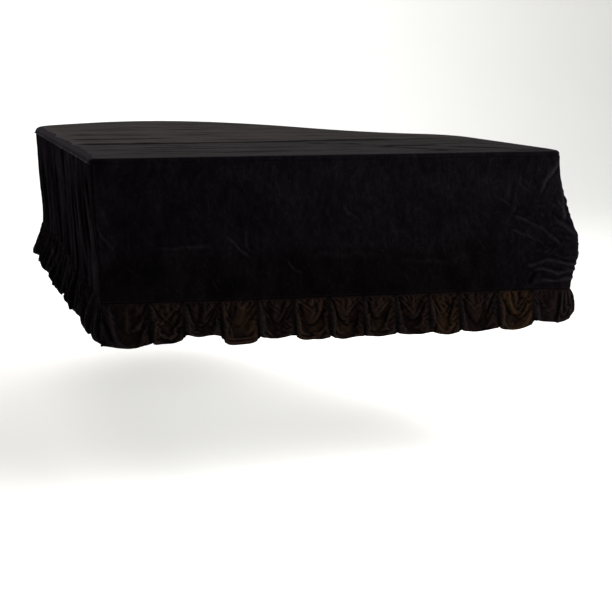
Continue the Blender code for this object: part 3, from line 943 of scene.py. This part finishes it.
def settle(points, held):
    """The same sheet once it has hung for a moment and filled out between the places that are held."""
    scene = bpy.context.scene
    mesh = grid_mesh("settling", points)
    obj = bpy.data.objects.new("settling", mesh)
    scene.collection.objects.link(obj)
    obj.vertex_groups.new(name="sewn").add(np.flatnonzero(held.ravel()).tolist(), 1.0, "REPLACE")
    cloth = obj.modifiers.new("settling", "CLOTH")
    cloth.collision_settings.use_collision = False
    cloth.collision_settings.use_self_collision = False
    cloth.point_cache.frame_end = SETTLE_FRAMES
    velvet_weight = {
        "quality": 5,
        "mass": 0.15,
        "tension_stiffness": 15,
        "compression_stiffness": 15,
        "shear_stiffness": 5,
        "bending_stiffness": 0.8,
        "air_damping": 2,
        "shrink_min": -FRILL_FULLNESS,
        "shrink_max": -FRILL_FULLNESS,
        "vertex_group_mass": "sewn",
    }
    for name, value in velvet_weight.items():
        setattr(cloth.settings, name, value)
    for moment in range(1, SETTLE_FRAMES + 1):
        scene.frame_set(moment)
    settled = np.zeros(points.size)
    obj.evaluated_get(bpy.context.evaluated_depsgraph_get()).data.vertices.foreach_get("co", settled)
    bpy.data.objects.remove(obj, do_unlink=True)
    bpy.data.meshes.remove(mesh)
    scene.frame_set(1)
    return settled.reshape(points.shape)


def held_at_tucks(panel, along, share, sizes):
    """Where the frill is sewn: along its seam, down its tucks and at its two ends."""
    pleats = frill_pleats(panel, sizes)
    tucks = np.append(pleats[:, 0], pleats[-1, 1])
    near = np.abs(along[..., None] - tucks).min(axis=-1) < 0.8 * sizes.mesh_step
    start, end = PLAN.panels[panel]
    return (share < 0.04) | (near & (share < TUCK_HELD)) | (along < start + 0.001) | (along > end - 0.006)


def grid_mesh(name, points):
    """A sheet of quads through a grid of points, its rows running down and its columns anticlockwise."""
    rows, columns = points.shape[:2]
    index = np.arange(rows * columns).reshape(rows, columns)
    corners = (index[:-1, :-1], index[1:, :-1], index[1:, 1:], index[:-1, 1:])
    mesh = bpy.data.meshes.new(name)
    mesh.from_pydata(points.reshape(-1, 3).tolist(), [], np.stack(corners, axis=-1).reshape(-1, 4).tolist())
    return mesh


def dress_mesh(mesh, tone, glow, crest):
    """Give a mesh its pile: its tone, which carries painted light and shade, its painted warm highlight and
    how pale its crests are, as rubbed pile and painted highlight.
    """
    for name, values in (("tone", tone), ("glow", glow), ("crest", crest)):
        attribute = mesh.attributes.new(name, "FLOAT", "POINT")
        attribute.data.foreach_set("value", np.clip(values, 0, 1.2).astype(np.float32).ravel())
    mesh.shade_smooth()


def panel_sheet(name, panel, surface, rows, sizes, material):
    """The sheet of one skirt or frill, with the sizes it was cut to: object, width and length."""
    columns = columns_of(panel, sizes.mesh_step)
    along, share = np.broadcast_arrays(columns, np.linspace(0, 1, rows)[:, None])
    place, drop, offset = surface(panel, along, share, sizes)
    points = cloth_points(place, drop, offset - seam_tuck(panel, along))
    if surface is frill_surface:
        points = settle(points, held_at_tucks(panel, along, share, sizes))
    bend = bend_of(points, sizes.mesh_step)
    if surface is frill_surface:
        pile = frill_pile(panel, along, share, bend, sizes)
    elif panel == "front":
        pile = front_pile(along, drop, bend)
    else:
        pile = gathered_pile(panel, along, drop, (offset - lean(place, drop)) / sizes.gather_depth, bend)
    mesh = grid_mesh(name, points)
    dress_mesh(mesh, *pile)
    width = np.linalg.norm(np.diff(points, axis=1), axis=-1).sum(axis=1).mean()
    length = np.linalg.norm(np.diff(points, axis=0), axis=-1).sum(axis=0).mean()
    return add_cloth(name, mesh, sizes, [material]), (float(width), float(length))


def add_cloth(name, mesh, sizes, materials):
    """An object of that open sheet, thickened inwards."""
    for material in materials:
        mesh.materials.append(material)
    obj = bpy.data.objects.new(name, mesh)
    bpy.context.scene.collection.objects.link(obj)
    wall = obj.modifiers.new("cloth", "SOLIDIFY")
    wall.thickness = sizes.cloth
    wall.offset = -1.0
    return obj


def declare(obj, node):
    """Parent a piece of cloth to the root and hide the solid that it stands for."""
    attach(obj, "root")
    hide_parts(node)


def edge_sag(y):
    """How far the top sags towards its front edge."""
    return EDGE_SAG * np.exp(-((y / EDGE_SAG_LENGTH) ** 2))


def flat_top(stations, outline, inward):
    """The top's flat part in triangles: its points in plan, its faces, the point at each station and
    how far each point is from its rim."""
    from_corner = np.minimum(stations, PLAN.length - stations)
    band = RIM_BAND + 0.009 * noise(314, stations / 0.06, 0) + 0.004 * noise(315, stations / 0.02, 0)
    margin = EDGE_ROLL + 0.001 + (band - EDGE_ROLL) * blend((from_corner - 0.03) / 0.05)
    ring = outline + inward * margin[:, None]
    gx, gy = np.meshgrid(np.arange(0, COVER_WIDTH, TOP_GRID[0]), np.arange(0, TOP_LENGTH, TOP_GRID[1]))
    inside = np.stack([gx.ravel(), gy.ravel()], axis=-1)
    near = np.concatenate([
        np.min(np.hypot(part[:, None, 0] - ring[None, :, 0], part[:, None, 1] - ring[None, :, 1]), axis=1)
        for part in np.array_split(inside, 40)
    ])
    inside = inside[near > 0.6 * TOP_GRID[1]]
    flat = [Vector(p) for p in np.concatenate([ring, inside])]
    points, _, faces, origins, _, _ = delaunay_2d_cdt(flat, [], [list(range(len(ring)))], 1, 1e-7)
    used = sorted({i for face in faces for i in face})
    new_index = {old: new for new, old in enumerate(used)}
    plan = np.array([points[i][:] for i in used])
    faces = [[new_index[i] for i in face] for face in faces]
    first = {origin: new_index[old] for old in used for origin in origins[old]}
    rim = [first[i] for i in range(len(ring))]
    away = np.min([np.hypot(plan[:, 0] - px, plan[:, 1] - py) for px, py in ring[::3]], axis=0)
    return plan, faces, rim, away


def top_relief(plan, away, sizes):
    """Height of the creases and waves of the top's flat part, which fade towards its rim."""
    x, y = plan[:, 0], plan[:, 1]
    slanted = y - 0.06 * x
    relief = steps(TOP_CREASES, x, y)
    relief += TOP_WAVES[0] * noise(301, x / 0.30, slanted / 0.034)
    relief += TOP_WAVES[1] * noise(302, x / 0.12, slanted / 0.015)
    relief += 0.6 * sizes.crumple * crumple(303, x * 0.5, y, 0.045)
    return np.minimum((relief - 0.0015) * blend(away / 0.05), 0.006) - edge_sag(y)


def top_kinds(plan, faces):
    """Which copy of the velvet each face of the top's flat part takes, as painted shade: a shaded copy in
    front of the long crease, and the darkest at the treble corner."""
    middles = np.array([plan[face].mean(axis=0) for face in faces])
    x, y = middles[:, 0], middles[:, 1]
    corner = np.exp(-(((COVER_WIDTH - x) / 0.24) ** 2) - (y / 0.13) ** 2)
    streaks = noise(331, x / 0.11, (y - 0.12 * x) / 0.016)
    starts = TOP_CREASES[:4]
    crease_line = np.interp(x, [row[0] for row in starts], [row[1] for row in starts])
    # Painted shade: a shaded copy in front of the long crease and a darker one at the treble corner
    kinds = np.where(y < crease_line, SHADED_FORE, TOP)
    kinds[corner + 0.22 * streaks > 0.5] = SHADED_RIM
    return kinds.tolist()


def roll_sections():
    """The top's rolled edge, from its flat part down to its lip: inset from the outline, drop, share
    of the lumps, and 1 at the ridge of the seam."""
    rows = [(EDGE_ROLL, 0.0003, 0.0, 0)]
    for turn in np.radians((18, 36, 54, 72, 90)):
        rows.append((EDGE_ROLL * (1 - math.sin(turn)), EDGE_ROLL * (1 - math.cos(turn)), 0.3, 0))
    return rows + [(0.0, 0.0145, 0.7, 0), (0.0, 0.0165, 1.0, 1), (0.0, LIP_DROP, 0.1, 0)]


def roll_pile(stations, sections):
    """Tone and crests of the rolled edge, section by section: a strong painted highlight with rubbed pile on
    the seam's bead, a weaker one on the roll, and on the front the front's painted light and shade.
    """
    front_end = PLAN.panels["front"][1]
    beside = 1 - blend(stations / 0.02) * blend((front_end - stations) / 0.05)
    crests = []
    for k, (_, drop, _, _) in enumerate(sections):
        # The seam's bead gets a strong painted highlight, the roll a weaker one, with rubbed pile
        rubbed_and_highlit = 1.5 if drop > EDGE_ROLL + 0.001 else 0.35 if drop > 0.001 else 0.0
        crests.append(rubbed_and_highlit * beside * (0.5 + 0.7 * noise(321 + k % 2, stations / 0.026, 0)).clip(0))
    on_front = (stations > 0) & (stations < front_end)
    tone = np.where(on_front, front_tone(stations, LIP_DROP)[0], SIDE_TONE)
    first = np.full(len(stations), SIDE_TONE)
    return np.concatenate([first, *[tone] * (len(sections) - 1)]), np.concatenate(crests)


def top_mesh(sizes):
    """The top panel: flat, with its creases, rolled over at its edge and ending in the seam's lip."""
    stations = PLAN.stations(0.005, math.radians(6))
    x, y, heading = PLAN.at(stations)
    inward = np.stack([-np.sin(heading), np.cos(heading)], axis=-1)
    outline = np.stack([x, y], axis=-1)
    plan, faces, last, away = flat_top(stations, outline, inward)
    kinds = top_kinds(plan, faces)
    coords = [np.column_stack([plan - PLAN_CENTRE, TOP_LEVEL + top_relief(plan, away, sizes)])]
    wide, small = EDGE_LUMPS
    lumps = wide * noise(311, stations / 0.050, 0) + small * noise(312, stations / 0.017, 0)
    lumps -= EDGE_PINCHES * np.clip(1 - 3 * np.abs(noise(316, stations / 0.034, 0)), 0, 1)
    front_end = PLAN.panels["front"][1]
    side = fade_to_ends("front", stations, 0.02)
    seam_ridge = SEAM_RIDGE * (1 - np.where((stations > 0) & (stations < front_end), side, 0))
    on_front = blend(stations / 0.012) * blend((front_end - stations) / 0.02) > 0.5
    sections = roll_sections()
    for number, (inset, drop, lump_share, ridge_share) in enumerate(sections):
        lumpy = blend(drop / LUMP_START)
        offset = -inset + lumps * lump_share * lumpy + seam_ridge * ridge_share
        px, py = outline[:, 0] - inward[:, 0] * offset, outline[:, 1] - inward[:, 1] * offset
        waver = EDGE_WAVER * lump_share * lumpy * noise(313, stations / 0.04, 0)
        level = TOP_LEVEL - drop - edge_sag(py) * (1 - drop / LIP_DROP) - waver
        if drop == LIP_DROP:
            level = np.full_like(px, TOP_LEVEL - drop - 0.9 * GAP)
        start = sum(len(points) for points in coords)
        coords.append(np.column_stack([px - PLAN_CENTRE[0], py - PLAN_CENTRE[1], level]))
        ids = list(range(start, start + len(px)))
        for k in range(len(ids)):
            n = (k + 1) % len(ids)
            faces.append([last[k], ids[k], ids[n], last[n]])
            # On the front the roll takes the shaded fore and skirt copies; elsewhere it takes the shaded rim
            # copy, and the seam's bead the copy with a painted highlight
            if on_front[k]:
                kinds.append(SKIRT if number else SHADED_FORE)
            else:
                kinds.append(HIGHLIT_BEAD if drop > EDGE_ROLL + 0.001 else SHADED_RIM)
        last = ids
    coords = np.concatenate(coords)
    mesh = bpy.data.meshes.new("top_cloth")
    mesh.from_pydata(coords.tolist(), [], [list(face) for face in faces])
    tone, crest = roll_pile(stations, sections)
    tone = np.concatenate([np.full(len(plan), SIDE_TONE), tone])
    dress_mesh(mesh, tone, np.zeros(len(coords)), np.concatenate([np.zeros(len(plan)), crest]))
    mesh.polygons.foreach_set("material_index", kinds)
    return mesh


def add_node(tree, kind, links=(), **settings):
    """A node of that kind, its sockets set or linked by name."""
    node = tree.nodes.new(kind)
    for name, value in settings.items():
        setattr(node, name, value)
    for socket, source in dict(links).items():
        if isinstance(source, bpy.types.NodeSocket):
            tree.links.new(source, node.inputs[socket])
        else:
            node.inputs[socket].default_value = source
    return node


def new_material(name):
    """A material with its node tree and its Principled shader."""
    material = bpy.data.materials.new(name)
    material.use_nodes = True
    return material, material.node_tree, material.node_tree.nodes["Principled BSDF"]


def velvet(name, pile, rubbed_and_highlit, glow, sheen, tint, gloss, patch, stretch, crush):
    """Black short-pile velvet: nearly no direct gloss, a soft sheen where it is seen edge on, patches where
    the pile leans another way, paler veins where handling crushed it, and crests pale as rubbed pile and
    painted highlight. Its tone carries painted light and shade, and a painted warm highlight is mixed into
    its colour."""
    material, tree, shader = new_material(name)
    place = add_node(tree, "ShaderNodeTexCoord").outputs["Object"]
    along_folds = add_node(tree, "ShaderNodeMapping", {"Vector": place, "Scale": stretch}).outputs[0]
    patches = add_node(
        tree,
        "ShaderNodeTexNoise",
        {"Vector": along_folds, "Scale": 1 / patch, "Detail": 4.0, "Roughness": 0.6, "Distortion": 0.3},
    ).outputs[0]
    lighter = add_node(
        tree,
        "ShaderNodeMapRange",
        {"Value": patches, "From Min": 0.30, "From Max": 0.70, "To Min": 0.6, "To Max": 1.4},
    ).outputs[0]
    # The tone attribute carries painted light and shade
    tone = add_node(tree, "ShaderNodeAttribute", attribute_name="tone").outputs["Fac"]
    tone = add_node(tree, "ShaderNodeMath", {0: tone, 1: 1.7, 2: 0.12}, operation="MULTIPLY_ADD").outputs[0]
    lighter = add_node(tree, "ShaderNodeMath", {0: lighter, 1: tone}, operation="MULTIPLY").outputs[0]
    brushed = add_node(
        tree, "ShaderNodeVectorMath", {0: pile, "Scale": lighter}, operation="SCALE"
    ).outputs[0]
    crushing = add_node(
        tree,
        "ShaderNodeTexNoise",
        {"Vector": along_folds, "Scale": 0.5 / patch, "Detail": 3.0, "Roughness": 0.55, "Distortion": 0.7},
    ).outputs[0]
    from_vein = add_node(tree, "ShaderNodeMath", {0: crushing, 1: 0.5}, operation="SUBTRACT").outputs[0]
    from_vein = add_node(tree, "ShaderNodeMath", {0: from_vein}, operation="ABSOLUTE").outputs[0]
    veins = add_node(
        tree, "ShaderNodeMapRange", {"Value": from_vein, "From Max": 0.022, "To Min": 0.30, "To Max": 0.0}
    ).outputs[0]
    # The crests add pale rubbed pile with a painted highlight to the veins
    crest = add_node(tree, "ShaderNodeAttribute", attribute_name="crest").outputs["Fac"]
    marks = add_node(tree, "ShaderNodeMath", {0: veins, 1: tone, 2: crest}, operation="MULTIPLY_ADD")
    speckle = add_node(tree, "ShaderNodeTexNoise", {"Vector": place, "Scale": FLECKS, "Detail": 3.0})
    speckle = speckle.outputs[0]
    marks = add_node(
        tree, "ShaderNodeMath", {0: marks.outputs[0], 1: speckle}, operation="MULTIPLY", use_clamp=True
    ).outputs[0]
    # Painted warm highlight, standing in for light off the floor, mixed into the base colour
    highlight_mask = add_node(tree, "ShaderNodeAttribute", attribute_name="glow").outputs["Fac"]
    highlight_mask = add_node(tree, "ShaderNodeMath", {0: highlight_mask, 1: speckle}, operation="MULTIPLY").outputs[0]
    highlighted = add_node(
        tree, "ShaderNodeMix", {0: highlight_mask, 6: brushed, 7: (*glow, 1)}, data_type="RGBA"
    ).outputs[2]
    colour = add_node(
        tree, "ShaderNodeMix", {0: marks, 6: highlighted, 7: (*rubbed_and_highlit, 1)}, data_type="RGBA"
    ).outputs[2]
    tree.links.new(colour, shader.inputs["Base Color"])
    pile_tips = add_node(
        tree, "ShaderNodeTexNoise", {"Vector": place, "Scale": PILE_TIPS, "Detail": 2.0}
    ).outputs[0]
    crushed = add_node(
        tree, "ShaderNodeBump", {"Height": crushing, "Strength": 0.8, "Distance": crush}
    ).outputs[0]
    piled = add_node(
        tree, "ShaderNodeBump", {"Height": pile_tips, "Strength": 0.5, "Distance": 0.0006, "Normal": crushed}
    ).outputs[0]
    tree.links.new(piled, shader.inputs["Normal"])
    shader.inputs["Roughness"].default_value = 0.9
    shader.inputs["Specular IOR Level"].default_value = gloss
    shader.inputs["Sheen Weight"].default_value = sheen
    shader.inputs["Sheen Roughness"].default_value = 0.3
    shader.inputs["Sheen Tint"].default_value = tint
    return material


# Copies of one velvet, one to each part, whose colour, sheen and tint are set apart as painted light and
# shade: colour, sheen, its tint, gloss, size of its patches, their stretch and how deep it is crushed
VELVETS = {
    "top": ("top_pile", 0.058, (1.0, 0.82, 0.78, 1), 0.008, 0.030, (0.15, 1, 1), 0.0012),
    "fore": ("top_pile", 0.034, (1.0, 0.82, 0.85, 1), 0.008, 0.030, (0.15, 1, 1), 0.0012),
    "rim": ("top_pile", 0.022, (0.92, 0.80, 1.0, 1), 0.003, 0.030, (1, 1, 1), 0.0012),
    "bead": ("side_pile", 0.044, (0.92, 0.84, 1.0, 1), 0.008, 0.030, (1, 1, 1), 0.0012),
    "skirt": ("skirt_pile", 0.008, (0.95, 0.90, 1.0, 1), 0.008, 0.016, (1, 1, 0.45), 0.003),
    "side": ("side_pile", 0.0010, (1.0, 0.84, 0.98, 1), 0.0, 0.016, (1, 1, 0.45), 0.003),
    "frill": ("frill_pile", 0.007, (0.95, 0.90, 1.0, 1), 0.008, 0.018, (1, 1, 1), 0.003),
}


def shared_velvet(colours, kind):
    """The velvet of the top, its rim, the skirts or the frill, made once."""
    found = bpy.data.materials.get(f"{kind}_velvet")
    if found:
        return found
    pile, *rest = VELVETS[kind]
    shades = (tuple(shade) for shade in (getattr(colours, pile), colours.rubbed_and_highlit, colours.frill_painted_highlight))
    return velvet(f"{kind}_velvet", *shades, *rest)


class COVER_OT_top_panel(Operator):
    """Make the top panel, rolled over at its edge"""

    bl_idname = "cover.top_panel"
    bl_label = "Top panel"

    def execute(self, context):
        scene = context.scene
        mesh = top_mesh(scene.cover_sizes)
        velvets = [shared_velvet(scene.cover_colours, kind) for kind in TOP_VELVET_COPIES]
        obj = add_cloth("top_cloth", mesh, scene.cover_sizes, velvets)
        declare(obj, "top_panel")
        return {"FINISHED"}


class COVER_OT_front_skirt(Operator):
    """Make the plain front panel"""

    bl_idname = "cover.front_skirt"
    bl_label = "Front skirt"

    def execute(self, context):
        scene = context.scene
        material = shared_velvet(scene.cover_colours, "skirt")
        name, rows = "front_skirt_cloth", SKIRT_ROWS["front"]
        obj, flat = panel_sheet(name, "front", skirt_surface, rows, scene.cover_sizes, material)
        declare(obj, "front_skirt")
        return {"FINISHED"}


class COVER_OT_side_skirts(Operator):
    """Make the gathered panels along the spine, the tail and the bent side"""

    bl_idname = "cover.side_skirts"
    bl_label = "Side skirts"

    def execute(self, context):
        scene = context.scene
        material = shared_velvet(scene.cover_colours, "side")
        for panel in SEEDS:
            name, rows = f"{panel}_skirt_cloth", SKIRT_ROWS[panel]
            obj, flat = panel_sheet(name, panel, skirt_surface, rows, scene.cover_sizes, material)
            declare(obj, f"{panel}_skirt")
        return {"FINISHED"}


class COVER_OT_frill(Operator):
    """Make the pleated frill under each panel"""

    bl_idname = "cover.frill"
    bl_label = "Frill"

    def execute(self, context):
        scene = context.scene
        material = shared_velvet(scene.cover_colours, "frill")
        for panel in PLAN.panels:
            name = f"{panel}_frill_cloth"
            obj, flat = panel_sheet(name, panel, frill_surface, FRILL_ROWS, scene.cover_sizes, material)
            declare(obj, f"{panel}_frill")
        return {"FINISHED"}


def stitch_tree(material):
    """Geometry nodes that lay short lengths of thread end to end along a path."""
    tree = bpy.data.node_groups.new("seam_stitches", "GeometryNodeTree")
    inputs = {}
    tree.interface.new_socket("Geometry", in_out="INPUT", socket_type="NodeSocketGeometry")
    for name in ("Step", "Length", "Radius"):
        socket = tree.interface.new_socket(name, in_out="INPUT", socket_type="NodeSocketFloat")
        socket.subtype = "DISTANCE"
        inputs[name] = socket.identifier
    tree.interface.new_socket("Geometry", in_out="OUTPUT", socket_type="NodeSocketGeometry")
    source = add_node(tree, "NodeGroupInput")
    spread = add_node(
        tree,
        "GeometryNodeCurveToPoints",
        {"Curve": source.outputs["Geometry"], "Length": source.outputs["Step"]},
        mode="LENGTH",
    )
    thread = add_node(
        tree,
        "GeometryNodeMeshCylinder",
        {
            "Vertices": 6,
            "Side Segments": 1,
            "Radius": source.outputs["Radius"],
            "Depth": source.outputs["Length"],
        },
        fill_type="TRIANGLE_FAN",
    )
    turn = add_node(
        tree, "FunctionNodeAlignRotationToVector", {"Vector": spread.outputs["Tangent"]}, axis="Z"
    )
    placed = add_node(
        tree,
        "GeometryNodeInstanceOnPoints",
        {"Points": spread.outputs["Points"], "Instance": thread.outputs["Mesh"], "Rotation": turn.outputs[0]},
    )
    real = add_node(tree, "GeometryNodeRealizeInstances", {"Geometry": placed.outputs[0]})
    dyed = add_node(tree, "GeometryNodeSetMaterial", {"Geometry": real.outputs[0], "Material": material})
    end = tree.nodes.new("NodeGroupOutput")
    tree.links.new(dyed.outputs[0], end.inputs["Geometry"])
    return tree, inputs


def path_object(name, lines):
    """A curve object of straight-sided paths."""
    curve = bpy.data.curves.new(name, "CURVE")
    curve.dimensions = "3D"
    for points in lines:
        spline = curve.splines.new("POLY")
        spline.points.add(len(points) - 1)
        spline.points.foreach_set("co", np.column_stack([points, np.ones(len(points))]).ravel())
    obj = bpy.data.objects.new(name, curve)
    bpy.context.scene.collection.objects.link(obj)
    return obj


class COVER_OT_stitches(Operator):
    """Sew the frill's seam and its hem"""

    bl_idname = "cover.stitches"
    bl_label = "Stitches"

    def execute(self, context):
        sizes = context.scene.cover_sizes
        if any(f"{panel}_frill_cloth" not in bpy.data.objects for panel in PLAN.panels):
            raise RuntimeError("the frill has to be made before it is sewn")
        # Spun polyester: matt and nearly black, with its twist just visible
        thread, tree, shader = new_material("polyester_thread")
        twist = add_node(tree, "ShaderNodeTexCoord").outputs["Object"]
        twist = add_node(tree, "ShaderNodeTexNoise", {"Vector": twist, "Scale": THREAD_TWISTS, "Detail": 1.0})
        twist = twist.outputs[0]
        dark, pale = (*srgb("060506"), 1), (*srgb("121012"), 1)
        tone = add_node(tree, "ShaderNodeMix", {0: twist, 6: dark, 7: pale}, data_type="RGBA").outputs[2]
        tree.links.new(tone, shader.inputs["Base Color"])
        shader.inputs["Roughness"].default_value = 0.7
        shader.inputs["Specular IOR Level"].default_value = 0.03
        group, inputs = stitch_tree(thread)
        lines = {"seam_stitches": [], "hem_stitches": []}
        for panel in PLAN.panels:
            along = columns_of(panel, sizes.mesh_step)
            up = 1 - SEAM_STITCH_UP / (SEAM_DROP - LIP_DROP)
            place, drop, offset = skirt_surface(panel, along, np.full_like(along, up), sizes)
            lines["seam_stitches"].append(cloth_points(place, drop, offset + sizes.thread / 2))
            frill = bpy.data.objects[f"{panel}_frill_cloth"].data
            points = np.zeros(len(frill.vertices) * 3)
            normals = np.zeros(len(frill.vertices) * 3)
            frill.vertices.foreach_get("co", points)
            frill.vertex_normals.foreach_get("vector", normals)
            up = round((FRILL_ROWS - 1) * (1 - HEM_FOLD / (HEM_DROP - SEAM_DROP)))
            hem = (points + normals * sizes.thread / 2).reshape(FRILL_ROWS, -1, 3)[up]
            lines["hem_stitches"].append(hem)
        for name, paths in lines.items():
            path = path_object(f"{name}_path", paths)
            sewing = path.modifiers.new("sewing", "NODES")
            sewing.node_group = group
            sewing[inputs["Step"]] = sizes.stitch_step
            sewing[inputs["Length"]] = sizes.stitch
            sewing[inputs["Radius"]] = sizes.thread
            depsgraph = context.evaluated_depsgraph_get()
            mesh = bpy.data.meshes.new_from_object(path.evaluated_get(depsgraph))
            bpy.data.objects.remove(path, do_unlink=True)
            mesh.materials.clear()
            mesh.materials.append(thread)
            obj = bpy.data.objects.new(name, mesh)
            context.scene.collection.objects.link(obj)
            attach(obj, "root")
        return {"FINISHED"}


def area_light(name, place, target, size, power, colour):
    """A soft square light at a place, turned to its target."""
    light = bpy.data.lights.new(name, "AREA")
    light.shape = "RECTANGLE"
    light.size, light.size_y = size
    light.energy = power
    light.color = colour
    obj = bpy.data.objects.new(name, light)
    obj.location = place
    obj.rotation_euler = (Vector(target) - Vector(place)).to_track_quat("-Z", "Y").to_euler()
    bpy.context.scene.collection.objects.link(obj)


def backdrop_mesh(floor):
    """A floor that curves up into a wall behind the cover."""
    profile = [(-FLOOR_REACH, floor), (BEND_START, floor)]
    for turn in np.radians(np.arange(6, 91, 6)):
        rise = BEND_RADIUS - BEND_RADIUS * math.cos(turn)
        profile.append((BEND_START + BEND_RADIUS * math.sin(turn), floor + rise))
    profile.append((BEND_START + BEND_RADIUS, floor + WALL_HEIGHT))
    widths = np.linspace(FLOOR_REACH, -FLOOR_REACH, 5)
    mesh = grid_mesh("studio_floor", np.array([[(x, y, z) for x in widths] for y, z in profile]))
    mesh.shade_smooth()
    return mesh


def camera_matrix():
    """Where the camera stood and how it was turned."""
    yaw, pitch, roll = (math.radians(a) for a in (CAMERA_YAW, CAMERA_PITCH, CAMERA_ROLL))
    ahead = Vector((math.sin(yaw) * math.cos(pitch), math.cos(yaw) * math.cos(pitch), -math.sin(pitch)))
    level = Vector((math.cos(yaw), -math.sin(yaw), 0))
    upright = level.cross(ahead)
    right = level * math.cos(roll) + upright * math.sin(roll)
    up = upright * math.cos(roll) - level * math.sin(roll)
    turned = Matrix((right, up, -ahead)).transposed().to_4x4()
    turned.translation = Vector(CAMERA_PLACE) - Vector((*PLAN_CENTRE, -TOP_LEVEL))
    return turned


class COVER_OT_stage(Operator):
    """Set up the pale floor, the soft lights and the camera"""

    bl_idname = "cover.stage"
    bl_label = "Stage"

    def execute(self, context):
        scene = context.scene
        stage = scene.cover_stage
        floor = TOP_LEVEL - stage.top_height
        mesh = backdrop_mesh(floor)
        # Matt paint: even and without reflections, very slightly cloudy
        paint, tree, shader = new_material("matt_floor_paint")
        place = add_node(tree, "ShaderNodeTexCoord").outputs["Object"]
        cloud = add_node(tree, "ShaderNodeTexNoise", {"Vector": place, "Scale": 1.5, "Detail": 3.0})
        tone = tuple(scene.cover_colours.floor)
        darker = tuple(0.97 * part for part in tone)
        mixed = add_node(
            tree, "ShaderNodeMix", {0: cloud.outputs[0], 6: (*tone, 1), 7: (*darker, 1)}, data_type="RGBA"
        ).outputs[2]
        tree.links.new(mixed, shader.inputs["Base Color"])
        shader.inputs["Roughness"].default_value = 0.85
        mesh.materials.append(paint)
        backdrop = bpy.data.objects.new("studio_floor", mesh)
        scene.collection.objects.link(backdrop)

        for name, place, target, size, power, colour in (
            ("overhead_light", (0.3, 1.8, 2.3), (0, 0.2, 0), (5.2, 3.4), stage.back_power, OVERHEAD_WHITE),
            ("front_light", (1.9, -3.1, 2.7), (0.3, -0.8, -0.2), (3.4, 2.6), stage.key_power, WHITE),
            ("wall_light", (0, 3.4, 3.2), (0, 8, 0.6), (7.0, 1.0), stage.wall_power, WHITE),
            ("warm_light", (0.5, -3.6, floor + 0.25), (0, -0.9, -0.45), (3.2, 0.5), stage.warm_power, WARM),
            ("floor_light", (0.0, -0.1, -0.56), (0.0, -0.1, -1.0), (1.3, 1.5), stage.floor_power, WHITE),
        ):
            area_light(name, place, target, size, power, colour)

        world = bpy.data.worlds.new("even_light")
        scene.world = world
        world.use_nodes = True
        sky = world.node_tree.nodes["Background"]
        sky.inputs["Color"].default_value = (*WHITE, 1)
        sky.inputs["Strength"].default_value = stage.sky

        lens = bpy.data.cameras.new("camera")
        lens.lens = stage.lens
        camera = bpy.data.objects.new("camera", lens)
        camera.matrix_world = camera_matrix()
        scene.collection.objects.link(camera)
        scene.camera = camera
        scene.view_settings.view_transform = "Standard"
        return {"FINISHED"}


class COVER_PT_panel(Panel):
    """The cover's pieces, in the order in which they are made"""

    bl_idname = "COVER_PT_panel"
    bl_label = "Grand piano cover"
    bl_space_type = "VIEW_3D"
    bl_region_type = "UI"
    bl_category = "Cover"

    def draw(self, context):
        scene = context.scene
        for group in (scene.cover_sizes, scene.cover_colours, scene.cover_stage):
            box = self.layout.box()
            for name in group.__annotations__:
                box.prop(group, name)
        for operator in OPERATORS:
            self.layout.operator(operator.bl_idname)


OPERATORS = (
    COVER_OT_top_panel,
    COVER_OT_front_skirt,
    COVER_OT_side_skirts,
    COVER_OT_frill,
    COVER_OT_stitches,
    COVER_OT_stage,
)
CLASSES = (CoverSizes, CoverColours, CoverStage, *OPERATORS, COVER_PT_panel)


def register():
    """Register the classes and give the scene its settings."""
    for cls in CLASSES:
        bpy.utils.register_class(cls)
    bpy.types.Scene.cover_sizes = PointerProperty(type=CoverSizes)
    bpy.types.Scene.cover_colours = PointerProperty(type=CoverColours)
    bpy.types.Scene.cover_stage = PointerProperty(type=CoverStage)


def unregister():
    """Take away the scene's settings and the classes."""
    del bpy.types.Scene.cover_stage
    del bpy.types.Scene.cover_colours
    del bpy.types.Scene.cover_sizes
    for cls in reversed(CLASSES):
        bpy.utils.unregister_class(cls)


def main():
    """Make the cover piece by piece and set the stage."""
    register()
    bpy.ops.cover.top_panel()
    bpy.ops.cover.front_skirt()
    bpy.ops.cover.side_skirts()
    bpy.ops.cover.frill()
    bpy.ops.cover.stitches()
    bpy.ops.cover.stage()


if __name__ == "__main__":
    main()
